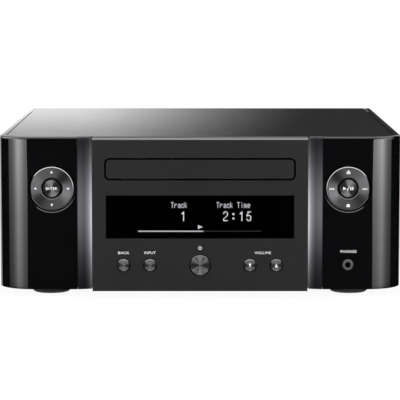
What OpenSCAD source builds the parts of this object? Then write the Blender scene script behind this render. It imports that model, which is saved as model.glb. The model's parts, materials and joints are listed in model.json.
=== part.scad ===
/* [Cabinet] */
// Overall width of the cabinet
body_w = 280; // [264:1:320]
// Overall height, from the table to the top plate
body_h = 110.6; // [106:0.1:130]
// Depth from the face of the centre panel to the back of the rear panel
body_d = 290; // [278:1:330]
// Wall of the moulded panels
wall = 2.5; // [2:0.1:3]
// Thickness of the sheet steel
sheet = 1; // [0.8:0.1:1.4]
// Radius of the upright front corners
corner_r = 25; // [16:0.5:30]
// Width of the rim that frames the top plate
rim_w = 5; // [4:0.5:7]
// Rounding along the outer edge of the rim
rim_r = 2; // [1:0.1:2.4]
// Thickness of the top plate
top_t = 3; // [2:0.1:4]
// How far the top plate stands above the rim, 0 for flush
top_stand = 0; // [0:0.1:1]
// Width of the ledge that carries the top plate
ledge_w = 4; // [3:0.5:6]
// Open seam between neighbouring panels
seam = 0.8; // [0.3:0.1:1]
// Slip clearance between fixed pieces
fit = 0.2; // [0.1:0.05:0.3]
// Radial running clearance of pins and shafts
run = 0.05; // [0.03:0.01:0.08]

/* [Feet] */
// Diameter of a foot
foot_d = 28.5; // [20:0.5:32]
// Height of a foot
foot_h = 5; // [4:0.5:9]
// Foot centre in from the side of the cabinet
foot_inset = 35.6; // [32:0.1:50]
// Front foot centre behind the face of the wings
foot_setback = 27; // [20:0.5:45]
// Rear foot centre in front of the rear panel
foot_rear = 30; // [22:0.5:45]

/* [Front] */
// Width of the centre panel
centre_w = 147.8; // [144:0.1:152]
// How far the centre panel stands in front of the wings
panel_stand = 9; // [8:0.1:12]
// Thickness of the centre panel
panel_t = 4; // [3:0.1:5]
// Bevel along the top edge of the centre panel
panel_bevel = 1.1; // [0.8:0.1:2]
// Thickness of the panel's top and bottom returns
return_t = 2.5; // [2:0.1:3]
// Width of the curved slope beside the centre panel
slope_w = 10.5; // [8:0.1:12]
// Radius of that slope
slope_r = 48; // [45:0.5:70]
// Angle of the slope at its crease
slope_lead = 9; // [5:0.5:10]
// Length of side wall moulded on each wing behind its corner
wing_tail = 6; // [4:0.5:14]

/* [Display] */
// Width of the display window
window_w = 129.1; // [110:0.1:132]
// Height of the display window
window_h = 29.9; // [24:0.1:34]
// Height of the window's middle above the table
window_z = 56.4; // [53:0.1:60]
// Width of the flange behind the window
window_lip = 2.2; // [1:0.1:3]
// Width of the display glass
glass_w = 112; // [90:1:124]
// Height of the display glass
glass_h = 27; // [20:0.5:29]

/* [Keys] */
// Diameter of the small keys
key_d = 8.6; // [7:0.1:10]
// Diameter of the power key
power_d = 14.2; // [11:0.1:16]
// Height of the row of keys above the table
key_z = 23.1; // [20:0.1:26]
// Inner small keys, distance from the middle
key_in = 34.3; // [28:0.1:38]
// Outer small keys, distance from the middle
key_out = 52.4; // [48:0.1:56]
// Radial gap round a key
key_gap = 0.4; // [0.3:0.05:0.6]
// How far the keys stand in front of the panel
key_stand = 1; // [0.5:0.1:1.5]
// Travel of a key
key_travel = 0.6; // [0.4:0.1:0.8]

/* [Pads] */
// Land between the crease of a wing and the round well of its pad
pad_edge = 1; // [0.8:0.1:1.6]
// Land between that well and the side of the cabinet
pad_outer = 21.2; // [20:0.1:22]
// Radial gap between a pad and its well
pad_gap = 1.7; // [1.2:0.1:2]
// Diameter of the hole in a pad
pad_hole_d = 14.5; // [14:0.1:15.5]
// Diameter of the key inside a pad
pad_key_d = 12.3; // [10:0.1:12.8]
// Pad centre below the top of the cabinet
pad_drop = 35.6; // [32:0.1:40]
// How far a pad lies behind the face of its wing
pad_sink = 0.4; // [0.2:0.1:1]
// Tilt of a pad to each side, in degrees
pad_tilt = 2; // [1:0.1:2.5]
// Height of the headphone socket above the table
jack_z = 22.1; // [21:0.1:28]
// Outer diameter of the headphone socket
jack_d = 7.5; // [7:0.1:9]
// Bore of the headphone socket
jack_bore = 3.6; // [3.55:0.01:3.7]

/* [Tray] */
// Width of the tray door
door_w = 128.5; // [126:0.1:130]
// Height of the tray door
door_h = 12.9; // [11.5:0.1:14]
// Gap round the tray door
door_gap = 1.3; // [0.8:0.1:1.6]
// Corner radius of the tray door
door_r = 2.5; // [1:0.1:4]
// Tray centre below the top of the cabinet
tray_drop = 21.3; // [20.5:0.1:24]
// Width of the tray
tray_w = 126; // [124:0.5:126]
// Length of the tray behind its door
tray_len = 182; // [176:1:190]
// Travel of the tray
tray_travel = 135; // [120:1:138]
// Diameter of a disc
disc_d = 120; // [118:0.5:120]
// Diameter of a small disc
small_disc_d = 80; // [76:0.5:82]
// Depth of the disc recess
recess_h = 4.6; // [4.4:0.1:5]
// Further depth of the small disc recess
small_recess_h = 1.8; // [1.2:0.1:2.2]
// Thickness of the tray floor under the small recess
floor_t = 2; // [1.5:0.1:2.4]
// Width of the pickup slot in the tray
slot_w = 50; // [49:0.5:52]
// Tongue along each side of the tray
tongue = 1.6; // [1.2:0.1:1.8]

/* [Loader] */
// Module of the tray rack and its pinion
rack_module = 1; // [0.9:0.05:1.05]
// Teeth of the pinion on the tray rack
pinion_teeth = 20; // [18:1:20]
// Module of the reduction gears
gear_module = 0.6; // [0.55:0.01:0.62]
// Teeth of the large reduction gear
wheel_teeth = 48; // [44:1:48]
// Teeth of the small reduction gear
small_teeth = 18; // [18:1:20]
// Thinning of each tooth for backlash
backlash = 0.12; // [0.08:0.01:0.16]
// Pitch line of the tray rack from the middle
rack_x = 50; // [48:0.5:51]
// Gear centres behind the face of the centre panel
gear_set = 36; // [34:0.5:38]
// Radius of the belt pulley
pulley_r = 11; // [8:0.5:12]
// Radius of the motor pulley
motor_pulley_r = 3; // [2.5:0.1:4]
// Loading motor, distance to the right of the middle
motor_x = 18; // [16:0.5:22]
// Diameter of the loading motor
motor_d = 24; // [20:0.5:24.4]
// Thickness of the loader's side walls
loader_wall = 3.5; // [3:0.1:4]
// Angle by which the traverse drops to free the tray
drop_angle = 4.2; // [3.8:0.1:4.5]
// Travel of the pickup
sled_travel = 35; // [30:0.5:36]
// Teeth of the pinion that drives the pickup
sled_teeth = 18; // [18:1:19]
// Diameter of the disc clamp
clamp_d = 23; // [21:0.5:24]

/* [Rear] */
// Reach of the speaker terminals behind the rear panel
post_reach = 12; // [11:0.1:15]
// Outer diameter of a terminal cap
cap_d = 11; // [10:0.1:13]
// Bore of a terminal for a plug
post_bore = 4; // [3.95:0.01:4.1]
// Spacing of the terminals
post_pitch = 19; // [16:0.5:22]
// Drop between the upper and lower terminals
post_drop = 22; // [20:0.5:26]
// Middle of the terminals in from the right side of the cabinet
post_inset = 44; // [38:0.5:48]
// Middle of the terminals above the table
post_z = 36; // [34:0.5:42]
// Middle of the mains inlet in from the left side of the cabinet
inlet_inset = 36; // [30:0.5:40]
// Middle of the mains inlet above the table
inlet_z = 34; // [28:0.5:40]
// Spacing of the audio sockets
jack_pitch = 14; // [12:0.5:16]
// Outer diameter of an audio socket
phono_d = 8.3; // [8.2:0.05:8.4]
// Bore of an audio socket
phono_bore = 3.2; // [3:0.1:3.4]
// Thread diameter of the aerial socket
aerial_d = 9.4; // [9:0.05:9.6]

/* [Hidden] */
$fn = 96;
overall_d = key_stand + body_d + post_reach;
front_y = -overall_d / 2 + key_stand;
rear_y = front_y + body_d;
wing_y = front_y + panel_stand;
floor_z = foot_h;
rim_z = body_h - top_stand;
seat_z = body_h - top_t;
ledge_t = 2.6;
flat_x = body_w / 2 - corner_r;
crease_x = centre_w / 2 + slope_w;
slope_cx = crease_x + slope_r * sin(slope_lead);
slope_cy = wing_y + slope_r * cos(slope_lead);
slope_end = asin((slope_cx - centre_w / 2 - seam) / slope_r);
slope_back = slope_r * (cos(slope_lead) - cos(slope_end)) + wall / cos(slope_end);
wing_end_y = wing_y + corner_r + wing_tail;
inner_x = body_w / 2 - wall;
well_d = body_w / 2 - pad_outer - crease_x - pad_edge;
pad_d = well_d - 2 * pad_gap;
pad_x = crease_x + pad_edge + well_d / 2;
pad_z = body_h - pad_drop;
tray_z = body_h - tray_drop;

// Front frame and what it carries
hat_x = centre_w / 2 - 1.5;
hat_z0 = floor_z + return_t + fit;
hat_z1 = min(rim_z - return_t, seat_z) - fit;
frame_t = 2.5;
frame_wall = 2;
key_room = 4;
frame_y = front_y + panel_t + key_room;
frame_back_y = frame_y + frame_t;
flange_y = wing_y + slope_back + fit;
flange_t = 2;
flange_x = flat_x + 8;
flange_z0 = floor_z + 1;
flange_z1 = seat_z - ledge_t - seam;
stem_d = 4;
key_lip = 1.2;
lip_t = 1.2;
stem_end_y = frame_back_y + 1.5;
switch_h = 1.8;
board_t = 1.6;
key_board_y = stem_end_y + key_travel + fit + switch_h;
board_post_r = 2.5;

// Pads, measured behind the face of the wing
pad_t = 3.5;
pad_back = pad_sink + pad_t;
tilt_room = pad_d / 2 * sin(pad_tilt) + 1;
ear_front = 2;
pivot_back = pad_back + tilt_room + ear_front;
pivot_y = wing_y + pivot_back;
gimbal_t = 3;
ear_r0 = pad_d / 2 - 3.2;
ear_r1 = pad_d / 2 - 0.6;
ear_half = 2.4;
pivot_r = 0.9;
gimbal_r1 = ear_r0 - 0.6;
gimbal_r0 = gimbal_r1 - 3;
cup_r = well_d / 2;
cup_wall = 1.8;
cup_back = pivot_back + gimbal_t / 2 + 4.6;
cup_t = 1.5;
pad_stem_r = 3;
pad_stem_end = cup_back + 0.8;
pad_board_back = pad_stem_end + key_travel + fit + switch_h;
pad_board_land = 1.3;
pad_board_w = well_d + 2 * pad_board_land;

// Tray and loader levels
slot_h = door_h + 2 * door_gap;
tray_y = front_y + panel_t;
tray_end_y = tray_y + tray_len;
tray_top = tray_z + recess_h;
tray_bot = tray_z - small_recess_h - floor_t;
disc_room = 1;
disc_y = tray_y + 5 + disc_d / 2 + disc_room;
rack_bot = tray_z - slot_h / 2 + 0.6;
wheel_h = 3;
pulley_h = 4.4;
wheel_top = rack_bot - 0.7;
wheel_bot = wheel_top - wheel_h;
pulley_top = wheel_bot - 0.6;
pulley_bot = pulley_top - pulley_h;
deck_top = pulley_bot - 1;
deck_t = 2;
deck_bot = deck_top - deck_t;
gear_y = front_y + gear_set;
pinion_r = rack_module * pinion_teeth / 2;
wheel_r = gear_module * wheel_teeth / 2;
small_r = gear_module * small_teeth / 2;
pinion_x = -rack_x + pinion_r;
small_x = pinion_x + wheel_r + small_r;
axle_r = 1.5;
rack_pitch = PI * rack_module;
rack_count = ceil((tray_travel + 14) / rack_pitch);
loader_y0 = max(flange_y + flange_t, key_board_y + board_t) + 2;
loader_y1 = tray_end_y + 10;
loader_in = tray_w / 2 + 0.5;
loader_x = loader_in + loader_wall;
loader_top = tray_top + 6;
bridge_t = 1.2;
bridge_w = 44;
post_d = 8;
loader_post_x = loader_in - 6;
loader_post_ys = [loader_y0 + 12, loader_y1 - 8];
motor_h = 12;
belt_t = 1.4;
belt_groove = 0.9;
tongue_z = tray_bot + 1.4;
tongue_t = 2;
tongue_room = 0.3;

// Traverse, drawn level as in play and dropped about its rear pivot
table_top = tray_z + 3.2;
rod_r = 1.5;
rod_x = 19.8;
rod_z = tray_bot - 2.8;
plate_t = 2;
plate_top = rod_z - 3.6;
plate_bot = plate_top - plate_t;
hinge_z = plate_top - plate_t / 2;
hinge_y = disc_y + 100;
hinge_r = 1.5;
trav_x0 = -30;
trav_x1 = 40;
trav_y0 = disc_y - 17;
trav_y1 = hinge_y + 3;
ear_gap = 1;
ear_t = 4;
hub_d = 30;
spindle_r = 1;
spindle_motor_r = 12.5;
spindle_motor_h = 10;
sled_front = disc_y + hub_d / 2 + 1.5;
sled_len = 26;
sled_x = 17;
sled_top = table_top - 4.4;
lens_back = 7.5;
lens_r = 3.6;
lens_top = table_top - 1.6;
rod_y0 = sled_front - 7.5;
rod_y1 = sled_front + sled_len + sled_travel + 8.5;
sled_module = gear_module;
sled_pitch = PI * sled_module;
sled_pinion_r = sled_module * sled_teeth / 2;
sled_rack_x = 24;
sled_rack_back = 1.6;
sled_pinion_x = sled_rack_x + sled_pinion_r;
sled_pinion_y = sled_front + sled_travel - 3;
sled_rack_count = ceil((sled_travel + 5) / sled_pitch);
sled_motor_r = 8;
clamp_bot = tray_z + 4.3;

// Base, boards and rear
pan_x = inner_x - fit;
pan_y0 = flange_y + flange_t + fit;
pan_y1 = rear_y - sheet;
pan_top = floor_z + sheet;
stand_h = 6;
board_z = pan_top + stand_h;
board_top = board_z + board_t;
flange_h = board_top - fit - floor_z;
stand_r = 3;
stand_edge = 5;
main_board_d = 74;
main_y1 = rear_y - sheet - 4;
main_y0 = main_y1 - main_board_d;
wing_board_x0 = loader_x + 6;
wing_board_x1 = body_w / 2 - 12;
supply_y0 = pan_y0 + 44;
block_back_y = rear_y - sheet;
screw_r = 1.4;
screw_head_r = 2.8;
foot_x = body_w / 2 - foot_inset;
foot_ys = [wing_y + foot_setback, rear_y - foot_rear];
foot_screw_r = 2;
phono_x = 34;
phono_z = board_top + 14;
phono_reach = 8.5;
lan_x = -6;
lan_w = 16;
lan_h = 14;
usb_x = -34;
usb_w = 15;
usb_h = 8;
optical_x = -54;
optical_w = 10;
socket_z = board_top + 11;
socket_d = 15;
socket_stand = 0.6;
socket_wall = 1.3;
aerial_x = 12;
aerial_z = 62;
aerial_reach = 10;
inlet_x = inlet_inset - body_w / 2;
inlet_w = 22;
inlet_h = 15;
post_x = body_w / 2 - post_inset;
terminal_plate_t = 2.5;
stud_d = 6;
collar_t = 1.3;

// Shapes that several pieces share
module rounded(w, h, r) {
  square([w - 2 * r, h], center = true);
  square([w, h - 2 * r], center = true);
  for (sx = [-1, 1], sz = [-1, 1])
    translate([sx * (w / 2 - r), sz * (h / 2 - r)]) circle(r);
}

// An upright slot with round ends
module slot_shape(w, h) {
  square([w, h - w], center = true);
  for (s = [-1, 1]) translate([0, s * (h - w) / 2]) circle(w / 2);
}

// A slab standing across the cabinet: a shape in X and Z, from y towards the rear
module upright(y, t)
  translate([0, y + t, 0]) rotate([90, 0, 0]) linear_extrude(t) children();

// A shape of radius and depth turned about an axis that runs front to back
module turned(x, y, z)
  translate([x, y, z]) rotate([-90, 0, 0]) rotate_extrude() children();

module rod(x, y, z, r, len)
  translate([x, y, z]) rotate([-90, 0, 0]) cylinder(r = r, h = len);

module block(x0, x1, y0, y1, z0, z1)
  translate([x0, y0, z0]) cube([x1 - x0, y1 - y0, z1 - z0]);

module post(x, y, z0, z1, r)
  translate([x, y, z0]) cylinder(r = r, h = z1 - z0);

// Involute teeth: angle of a flank at radius r from the middle of its tooth
function involute(a) = tan(a) * 180 / PI - a;
function flank(m, n, r) =
  90 / n - backlash / (m * n) * 180 / PI + involute(20) - involute(acos(min(1, m * n * cos(20) / 2 / r)));
function polar(r, a) = [r * cos(a), r * sin(a)];

module gear_shape(m, n) {
  root = m * (n / 2 - 1.25);
  base = max(root, m * n * cos(20) / 2);
  tip = m * (n / 2 + 0.95);
  steps = 4;
  radii = [for (k = [0 : steps]) base + (tip - base) * k / steps];
  polygon([for (i = [0 : n - 1]) let (c = 360 * i / n) each concat(
    [polar(root, c - flank(m, n, base))],
    [for (r = radii) polar(r, c - flank(m, n, r))],
    [for (k = [steps : -1 : 0]) polar(radii[k], c + flank(m, n, radii[k]))],
    [polar(root, c + flank(m, n, base))])]);
}

// Rack teeth along Y that face +X, with a space at y = 0 and the pitch line at x = 0
module rack_shape(m, first, count, back) {
  p = PI * m;
  root = -1.25 * m;
  tip = 0.95 * m;
  half = p / 4 - backlash / 2;
  polygon(concat(
    [[-back, (first + 0.1) * p], [root, (first + 0.1) * p]],
    [for (k = [first : first + count - 1]) let (c = (k + 0.5) * p) each [
      [root, c - half - root * -tan(20)], [tip, c - half + tip * tan(20)],
      [tip, c + half - tip * tan(20)], [root, c + half + root * -tan(20)]]],
    [[root, (first + count - 0.1) * p], [-back, (first + count - 0.1) * p]]));
}

// Closed outline of a belt round two pulleys that lie along X
module belt_outline(x0, r0, x1, r1) {
  lean = acos((r0 - r1) / (x1 - x0));
  translate([x0, 0]) circle(r0);
  translate([x1, 0]) circle(r1);
  polygon([[x0, 0] + polar(r0, lean), [x0, 0] + polar(r0, -lean),
    [x1, 0] + polar(r1, -lean), [x1, 0] + polar(r1, lean)]);
}

// Wall, rim and ledge of the wings and side panels: distance in from the outside, and height
module wall_section(ledge) {
  difference() {
    union() {
      translate([0, floor_z]) square([wall, rim_z - floor_z]);
      translate([0, seat_z - ledge_t]) square([rim_w, rim_z - seat_z + ledge_t]);
      translate([0, seat_z - ledge_t]) square([rim_w + ledge, ledge_t]);
    }
    difference() {
      translate([-1, rim_z - rim_r]) square([rim_r + 1, rim_r + 1]);
      translate([rim_r, rim_z - rim_r]) circle(rim_r);
    }
  }
}

// Outline of the top plate, with its front corners rounded inside the rim
module plate_outline() {
  half = body_w / 2 - rim_w - seam;
  y0 = wing_y + rim_w + seam;
  r = corner_r - rim_w - seam;
  translate([-half, y0 + r]) square([2 * half, rear_y - y0 - r]);
  translate([-half + r, y0]) square([2 * (half - r), r + 1]);
  for (s = [-1, 1]) translate([s * (half - r), y0 + r]) circle(r);
}

// Cabinet
module pan_outline(inset) {
  x = pan_x - inset;
  r = corner_r - wall - fit - inset;
  corner_y = wing_y + corner_r;
  intersection() {
    union() {
      translate([-x, corner_y]) square([2 * x, pan_y1 - inset - corner_y]);
      translate([-flat_x, corner_y - r]) square([2 * flat_x, r + 1]);
      for (s = [-1, 1]) translate([s * flat_x, corner_y]) circle(r);
    }
    translate([-body_w, pan_y0 + inset]) square([2 * body_w, body_d]);
  }
}

function stand_places() = concat(
  [for (s = [-1, 1], x = [wing_board_x0 + stand_edge, wing_board_x1 - stand_edge],
    y = [supply_y0 + stand_edge, main_y1 - stand_edge]) [s * x, y]],
  [for (x = [-loader_x + stand_edge + 3, 0], y = [main_y0 + stand_edge, main_y1 - stand_edge]) [x, y]]);

// Screws of the rear panel: a row in the pan's flange and two at each side panel
function rear_screw_places() = concat(
  [for (x = [-0.86, -0.3, 0.3, 0.86]) [x * pan_x, floor_z + (flange_h + sheet) / 2]],
  [for (s = [-1, 1], z = [0.5, 0.86]) [s * (inner_x - 5), body_h * z]]);

module base_pan() {
  vents = 9;
  vent_pitch = 9;
  vent_w = 4;
  vent_len = 60;
  vent_y = loader_y1 - 50;
  color("dimgray") difference() {
    union() {
      translate([0, 0, floor_z]) linear_extrude(sheet) pan_outline(0);
      translate([0, 0, floor_z]) linear_extrude(flange_h) difference() {
        pan_outline(0);
        pan_outline(sheet);
      }
      for (p = stand_places()) post(p[0], p[1], pan_top - sheet / 2, board_z, stand_r);
    }
    for (p = stand_places()) post(p[0], p[1], floor_z - 1, board_z + 1, screw_r);
    for (x = [-foot_x, foot_x], y = foot_ys) post(x, y, floor_z - 1, pan_top + 1, foot_screw_r);
    for (p = rear_screw_places()) if (p[1] < floor_z + flange_h)
      rod(p[0], pan_y1 - sheet - 1, p[1], screw_r + run, sheet + 2);
    for (i = [0 : vents - 1]) translate([(i - (vents - 1) / 2) * vent_pitch, 0, floor_z - 1])
      linear_extrude(sheet + 2) translate([0, vent_y]) slot_shape(vent_w, vent_len);
  }
}

module feet() {
  r = foot_d / 2;
  toe = 2;
  lean = 0.7;
  toe_h = 1.2;
  band = 1;
  sink_r = 4.5;
  web = 2;
  color("#26262a") for (x = [-foot_x, foot_x], y = foot_ys) translate([x, y, 0]) rotate_extrude()
    difference() {
      polygon([[0, 0], [r - toe, 0], [r - lean, toe_h], [r, foot_h - band], [r, foot_h], [0, foot_h]]);
      translate([-1, -1]) square([1 + sink_r, 1 + foot_h - web]);
      translate([-1, -1]) square([1 + foot_screw_r, foot_h + 2]);
    }
}

// Cut-out for a socket, with clearance all round
module socket_cut(x, z, w, h)
  translate([x, z]) square([w + 2 * fit, h + 2 * fit], center = true);

module rear_panel() {
  slots = 14;
  slot_pitch = 8;
  slot_w = 3;
  slot_len = 28;
  slot_x = 22 - pan_x;
  slot_z = body_h - 30;
  color("#2b2b2e") difference() {
    upright(rear_y - sheet, sheet) translate([-pan_x, floor_z]) square([2 * pan_x, seat_z - fit - floor_z]);
    upright(rear_y - sheet - 1, sheet + 2) {
      for (p = rear_screw_places()) translate(p) circle(screw_r + fit);
      for (p = post_places()) translate(p) circle(stud_d / 2 + collar_t + fit);
      for (p = phono_places()) translate(p) circle(phono_d / 2 + fit);
      translate([aerial_x, aerial_z]) circle(aerial_d / 2 + fit);
      socket_cut(lan_x, socket_z, lan_w, lan_h);
      socket_cut(usb_x, socket_z, usb_w, usb_h);
      socket_cut(optical_x, socket_z, optical_w, optical_w);
      socket_cut(inlet_x, inlet_z, inlet_w, inlet_h);
      for (i = [0 : slots - 1]) translate([slot_x + i * slot_pitch, slot_z]) slot_shape(slot_w, slot_len);
    }
  }
}

module side_panel() {
  y0 = wing_end_y + fit;
  y1 = rear_y - sheet - fit;
  boss = 10;
  boss_half = 4;
  difference() {
    union() {
      translate([body_w / 2, y0, 0]) rotate([90, 0, 180]) linear_extrude(rear_y - y0) wall_section(ledge_w);
      for (p = rear_screw_places()) if (p[1] > floor_z + flange_h && p[0] > 0)
        block(p[0] - boss_half, inner_x + wall / 2, y1 - boss, y1, p[1] - boss_half, p[1] + boss_half);
    }
    block(inner_x - rim_w - ledge_w, inner_x, y1, rear_y + 1, seat_z - ledge_t - 1, seat_z);
    for (p = rear_screw_places()) rod(p[0], y1 - boss - 1, p[1], screw_r + run, boss + 2);
  }
}
module side_panel_left() color("#141416") mirror([1, 0, 0]) side_panel();
module side_panel_right() color("#141416") side_panel();

module top_plate() {
  edge = 0.6;
  color("#202024") difference() {
    translate([0, 0, seat_z]) linear_extrude(top_t) plate_outline();
    translate([-body_w / 2, wing_y + rim_w + seam, body_h - edge]) rotate([45, 0, 0])
      translate([0, -2, 0]) cube([body_w, 2, 2]);
  }
}

module wing() {
  bezel = 0.5;
  difference() {
    union() {
      translate([crease_x + fit, wing_y, 0]) rotate([90, 0, 90])
        linear_extrude(flat_x - crease_x - fit) wall_section(ledge_w);
      translate([flat_x, wing_y + corner_r, 0]) rotate([0, 0, -90]) rotate_extrude(angle = 90)
        translate([corner_r, 0]) mirror([1, 0]) wall_section(ledge_w);
      translate([body_w / 2, wing_y + corner_r, 0]) rotate([90, 0, 180])
        linear_extrude(wing_tail) wall_section(ledge_w);
    }
    rod(pad_x, wing_y - 1, pad_z, cup_r - bezel, wall + 4);
    turned(pad_x, wing_y, pad_z)
      polygon([[0, -1], [cup_r + 1, -1], [cup_r - bezel - 0.5, bezel + 0.5], [0, bezel + 0.5]]);
  }
}
module wing_left() color("#101012") mirror([1, 0, 0]) wing();
module wing_right() color("#101012") difference() {
  wing();
  rod(pad_x, wing_y - 1, jack_z, jack_d / 2 + fit, wall + 2);
}

// Front
function key_places() =
  [[-key_out, key_d], [-key_in, key_d], [0, power_d], [key_in, key_d], [key_out, key_d]];

module centre_panel() {
  half = centre_w / 2;
  edge = 0.6;
  deep = panel_stand + rim_w;
  color("#303034") difference() {
    union() {
      block(-half, half, front_y, front_y + panel_t, floor_z, rim_z);
      block(-half, half, front_y, front_y + deep, rim_z - return_t, rim_z);
      block(-half, half, front_y, front_y + deep, floor_z, floor_z + return_t);
    }
    translate([0, front_y, rim_z - panel_bevel]) rotate([-45, 0, 0])
      translate([-half - 1, -8, 0]) cube([2 * half + 2, 8, 8]);
    translate([0, front_y, floor_z + edge]) rotate([45, 0, 0])
      translate([-half - 1, -8, -8]) cube([2 * half + 2, 8, 8]);
    for (s = [-1, 1]) translate([s * (half - edge), front_y, floor_z - 1]) rotate([0, 0, s * 45])
      translate([-4, -8, 0]) cube([8, 8, body_h]);
    upright(front_y - 1, panel_t + 2) {
      translate([0, tray_z]) rounded(door_w + 2 * door_gap, slot_h, door_r + door_gap);
      translate([0, window_z]) rounded(window_w, window_h, 0.8);
      for (k = key_places()) translate([k[0], key_z]) circle(k[1] / 2 + key_gap);
    }
  }
}

// Cup behind a pad: it carries the gimbal's pivots in two ears and guides the stem of the key
module pad_cup() {
  sink = 0.5;
  guide_wall = 2;
  guide_y = pivot_y + gimbal_t / 2 + 0.8;
  floor_y = wing_y + cup_back - cup_t;
  cup_len = wing_y + pad_board_back - flange_y;
  bore_len = 14;
  difference() {
    rod(0, flange_y, 0, cup_r + cup_wall, cup_len);
    rod(0, flange_y - 1, 0, cup_r, cup_len + 2);
  }
  difference() {
    union() {
      rod(0, guide_y, 0, pad_stem_r + guide_wall, floor_y + cup_t - guide_y);
      rod(0, floor_y, 0, cup_r + sink, cup_t);
    }
    rod(0, pivot_y, 0, pad_stem_r + run, pad_board_back);
  }
  for (s = [-1, 1]) difference() {
    block(-ear_half, ear_half, pivot_y - ear_front, floor_y + sink,
      s > 0 ? ear_r0 : -cup_r - sink, s > 0 ? cup_r + sink : -ear_r0);
    translate([0, pivot_y, s * (cup_r + 1 - bore_len / 2)])
      cylinder(r = pivot_r + run, h = bore_len, center = true);
  }
}

module front_frame() {
  slot_room = 0.5;
  slot_x = door_w / 2 + door_gap + slot_room;
  sill = 4;
  boss_len = flange_y - wing_y - wall + 1;
  back = flange_y + flange_t;
  boss_r = 3;
  boss_x = [crease_x + 1.5 * boss_r, flat_x - 2];
  boss_z = [jack_z + 18, flange_z1 - boss_r];
  jack_room = 7;
  board_post_x = key_out + 7;
  board_post_dz = 8;
  color("#232326") {
    difference() {
      union() {
        block(-hat_x, hat_x, frame_y, frame_back_y, hat_z0, hat_z1);
        difference() {
          block(-hat_x, hat_x, front_y + panel_t, back, hat_z0, hat_z1);
          block(-hat_x + frame_wall, hat_x - frame_wall, front_y, back + 1,
            hat_z0 + frame_wall, hat_z1 - frame_wall);
        }
        difference() {
          block(-flange_x, flange_x, flange_y, back, flange_z0, flange_z1);
          block(-hat_x + 1, hat_x - 1, flange_y - 1, back + 1, flange_z0 + sill, hat_z1);
          for (s = [-1, 1]) rod(s * pad_x, flange_y - 1, pad_z, cup_r + 1, flange_t + 2);
          block(pad_x - jack_room, pad_x + jack_room, flange_y - 1, back + 1,
            jack_z - jack_room, jack_z + jack_room);
        }
        for (s = [-1, 1], x = boss_x, z = boss_z) rod(s * x, wing_y + wall, z, boss_r, boss_len);
        for (sx = [-1, 1], sz = [-1, 1]) rod(sx * board_post_x, frame_back_y - 1,
          key_z + sz * board_post_dz, board_post_r, key_board_y - frame_back_y + 1);
      }
      upright(frame_y - 1, frame_t + 2) {
        translate([0, tray_z]) rounded(2 * slot_x, slot_h + 2 * slot_room, door_r + door_gap);
        for (k = key_places()) translate([k[0], key_z]) circle(stem_d / 2 + run);
      }
    }
    for (s = [-1, 1]) translate([s * pad_x, 0, pad_z]) pad_cup();
  }
}

// Curved strips that spread a soft glow from the edge of the centre panel to the wings
module light_guide()
  difference() {
    translate([slope_cx, slope_cy, 0]) rotate([0, 0, 270 - slope_end])
      rotate_extrude(angle = slope_end - slope_lead)
        translate([slope_r, 0]) mirror([1, 0]) wall_section(0);
    block(centre_w / 2 - 1, crease_x + 2, wing_y + rim_w, wing_y + rim_w + 9, seat_z, body_h + 1);
    block(crease_x, crease_x + 5, wing_y - 1, wing_y + rim_w + 9, floor_z - 1, body_h + 1);
  }
module light_guides() color("#8d8b9c") {
  light_guide();
  mirror([1, 0, 0]) light_guide();
}

module display_window() {
  lip_y = front_y + panel_t;
  sink = 0.5;
  color("#050506") {
    upright(front_y + sink, panel_t - sink) translate([0, window_z])
      rounded(window_w - 2 * fit, window_h - 2 * fit, 0.8);
    upright(lip_y, lip_t) translate([0, window_z])
      square([window_w + 2 * window_lip, window_h + 2 * window_lip], center = true);
  }
}

module display_module() {
  y0 = front_y + panel_t + lip_t + fit;
  color("#0a0a10") upright(y0, frame_y - y0) translate([0, window_z])
    square([glass_w, glass_h], center = true);
}

// A small square push switch on the front of a board
module key_switch(x, y, z) {
  half = 3;
  block(x - half, x + half, y - switch_h, y + 0.5, z - half, z + half);
}

module key_boards() {
  pad_y = wing_y + pad_board_back;
  end_land = 10;
  board_h = 22;
  color("darkgreen") {
    upright(key_board_y, board_t) translate([0, key_z])
      square([2 * (key_out + end_land), board_h], center = true);
    for (k = key_places()) key_switch(k[0], key_board_y, key_z);
    for (s = [-1, 1]) {
      upright(pad_y, board_t) translate([s * pad_x, pad_z]) square(pad_board_w, center = true);
      key_switch(s * pad_x, pad_y, pad_z);
    }
  }
}

// Four-way pads: a spun ring on a gimbal, with a key in its middle
module pad_ring() {
  r = pad_d / 2;
  hole = pad_hole_d / 2;
  dish = 0.5;
  lead = 0.4;
  edge = 0.8;
  land = 0.6;
  ear_root = 0.5;
  ear_back = 2 * pivot_r;
  difference() {
    union() {
      turned(0, wing_y + pad_sink, 0) polygon([[hole, dish + lead], [hole + lead, dish],
        [r - edge - land, 0], [r - edge, 0], [r, edge], [r, pad_t], [hole, pad_t]]);
      for (s = [-1, 1]) block(s > 0 ? ear_r0 : -ear_r1, s > 0 ? ear_r1 : -ear_r0,
        wing_y + pad_back - ear_root, pivot_y + ear_back, -ear_half, ear_half);
    }
    translate([0, pivot_y, 0]) rotate([0, 90, 0])
      cylinder(r = pivot_r + run, h = pad_d + 2, center = true);
  }
}

module pad_gimbal() {
  reach = 2 * (ear_r1 - 0.3);
  difference() {
    union() {
      rod(0, pivot_y - gimbal_t / 2, 0, gimbal_r1, gimbal_t);
      translate([0, pivot_y, 0]) rotate([0, 90, 0]) cylinder(r = pivot_r, h = reach, center = true);
      translate([0, pivot_y, 0]) cylinder(r = pivot_r, h = reach, center = true);
    }
    rod(0, pivot_y - gimbal_t, 0, gimbal_r0, 2 * gimbal_t);
  }
}

module pad_key() {
  r = pad_key_d / 2;
  face = pad_sink + 0.2;
  edge = 0.5;
  turned(0, wing_y, 0) polygon([[0, face], [r - edge, face], [r, face + edge], [r, pad_back],
    [pad_stem_r, pad_back], [pad_stem_r, pad_stem_end], [0, pad_stem_end]]);
}

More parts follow.
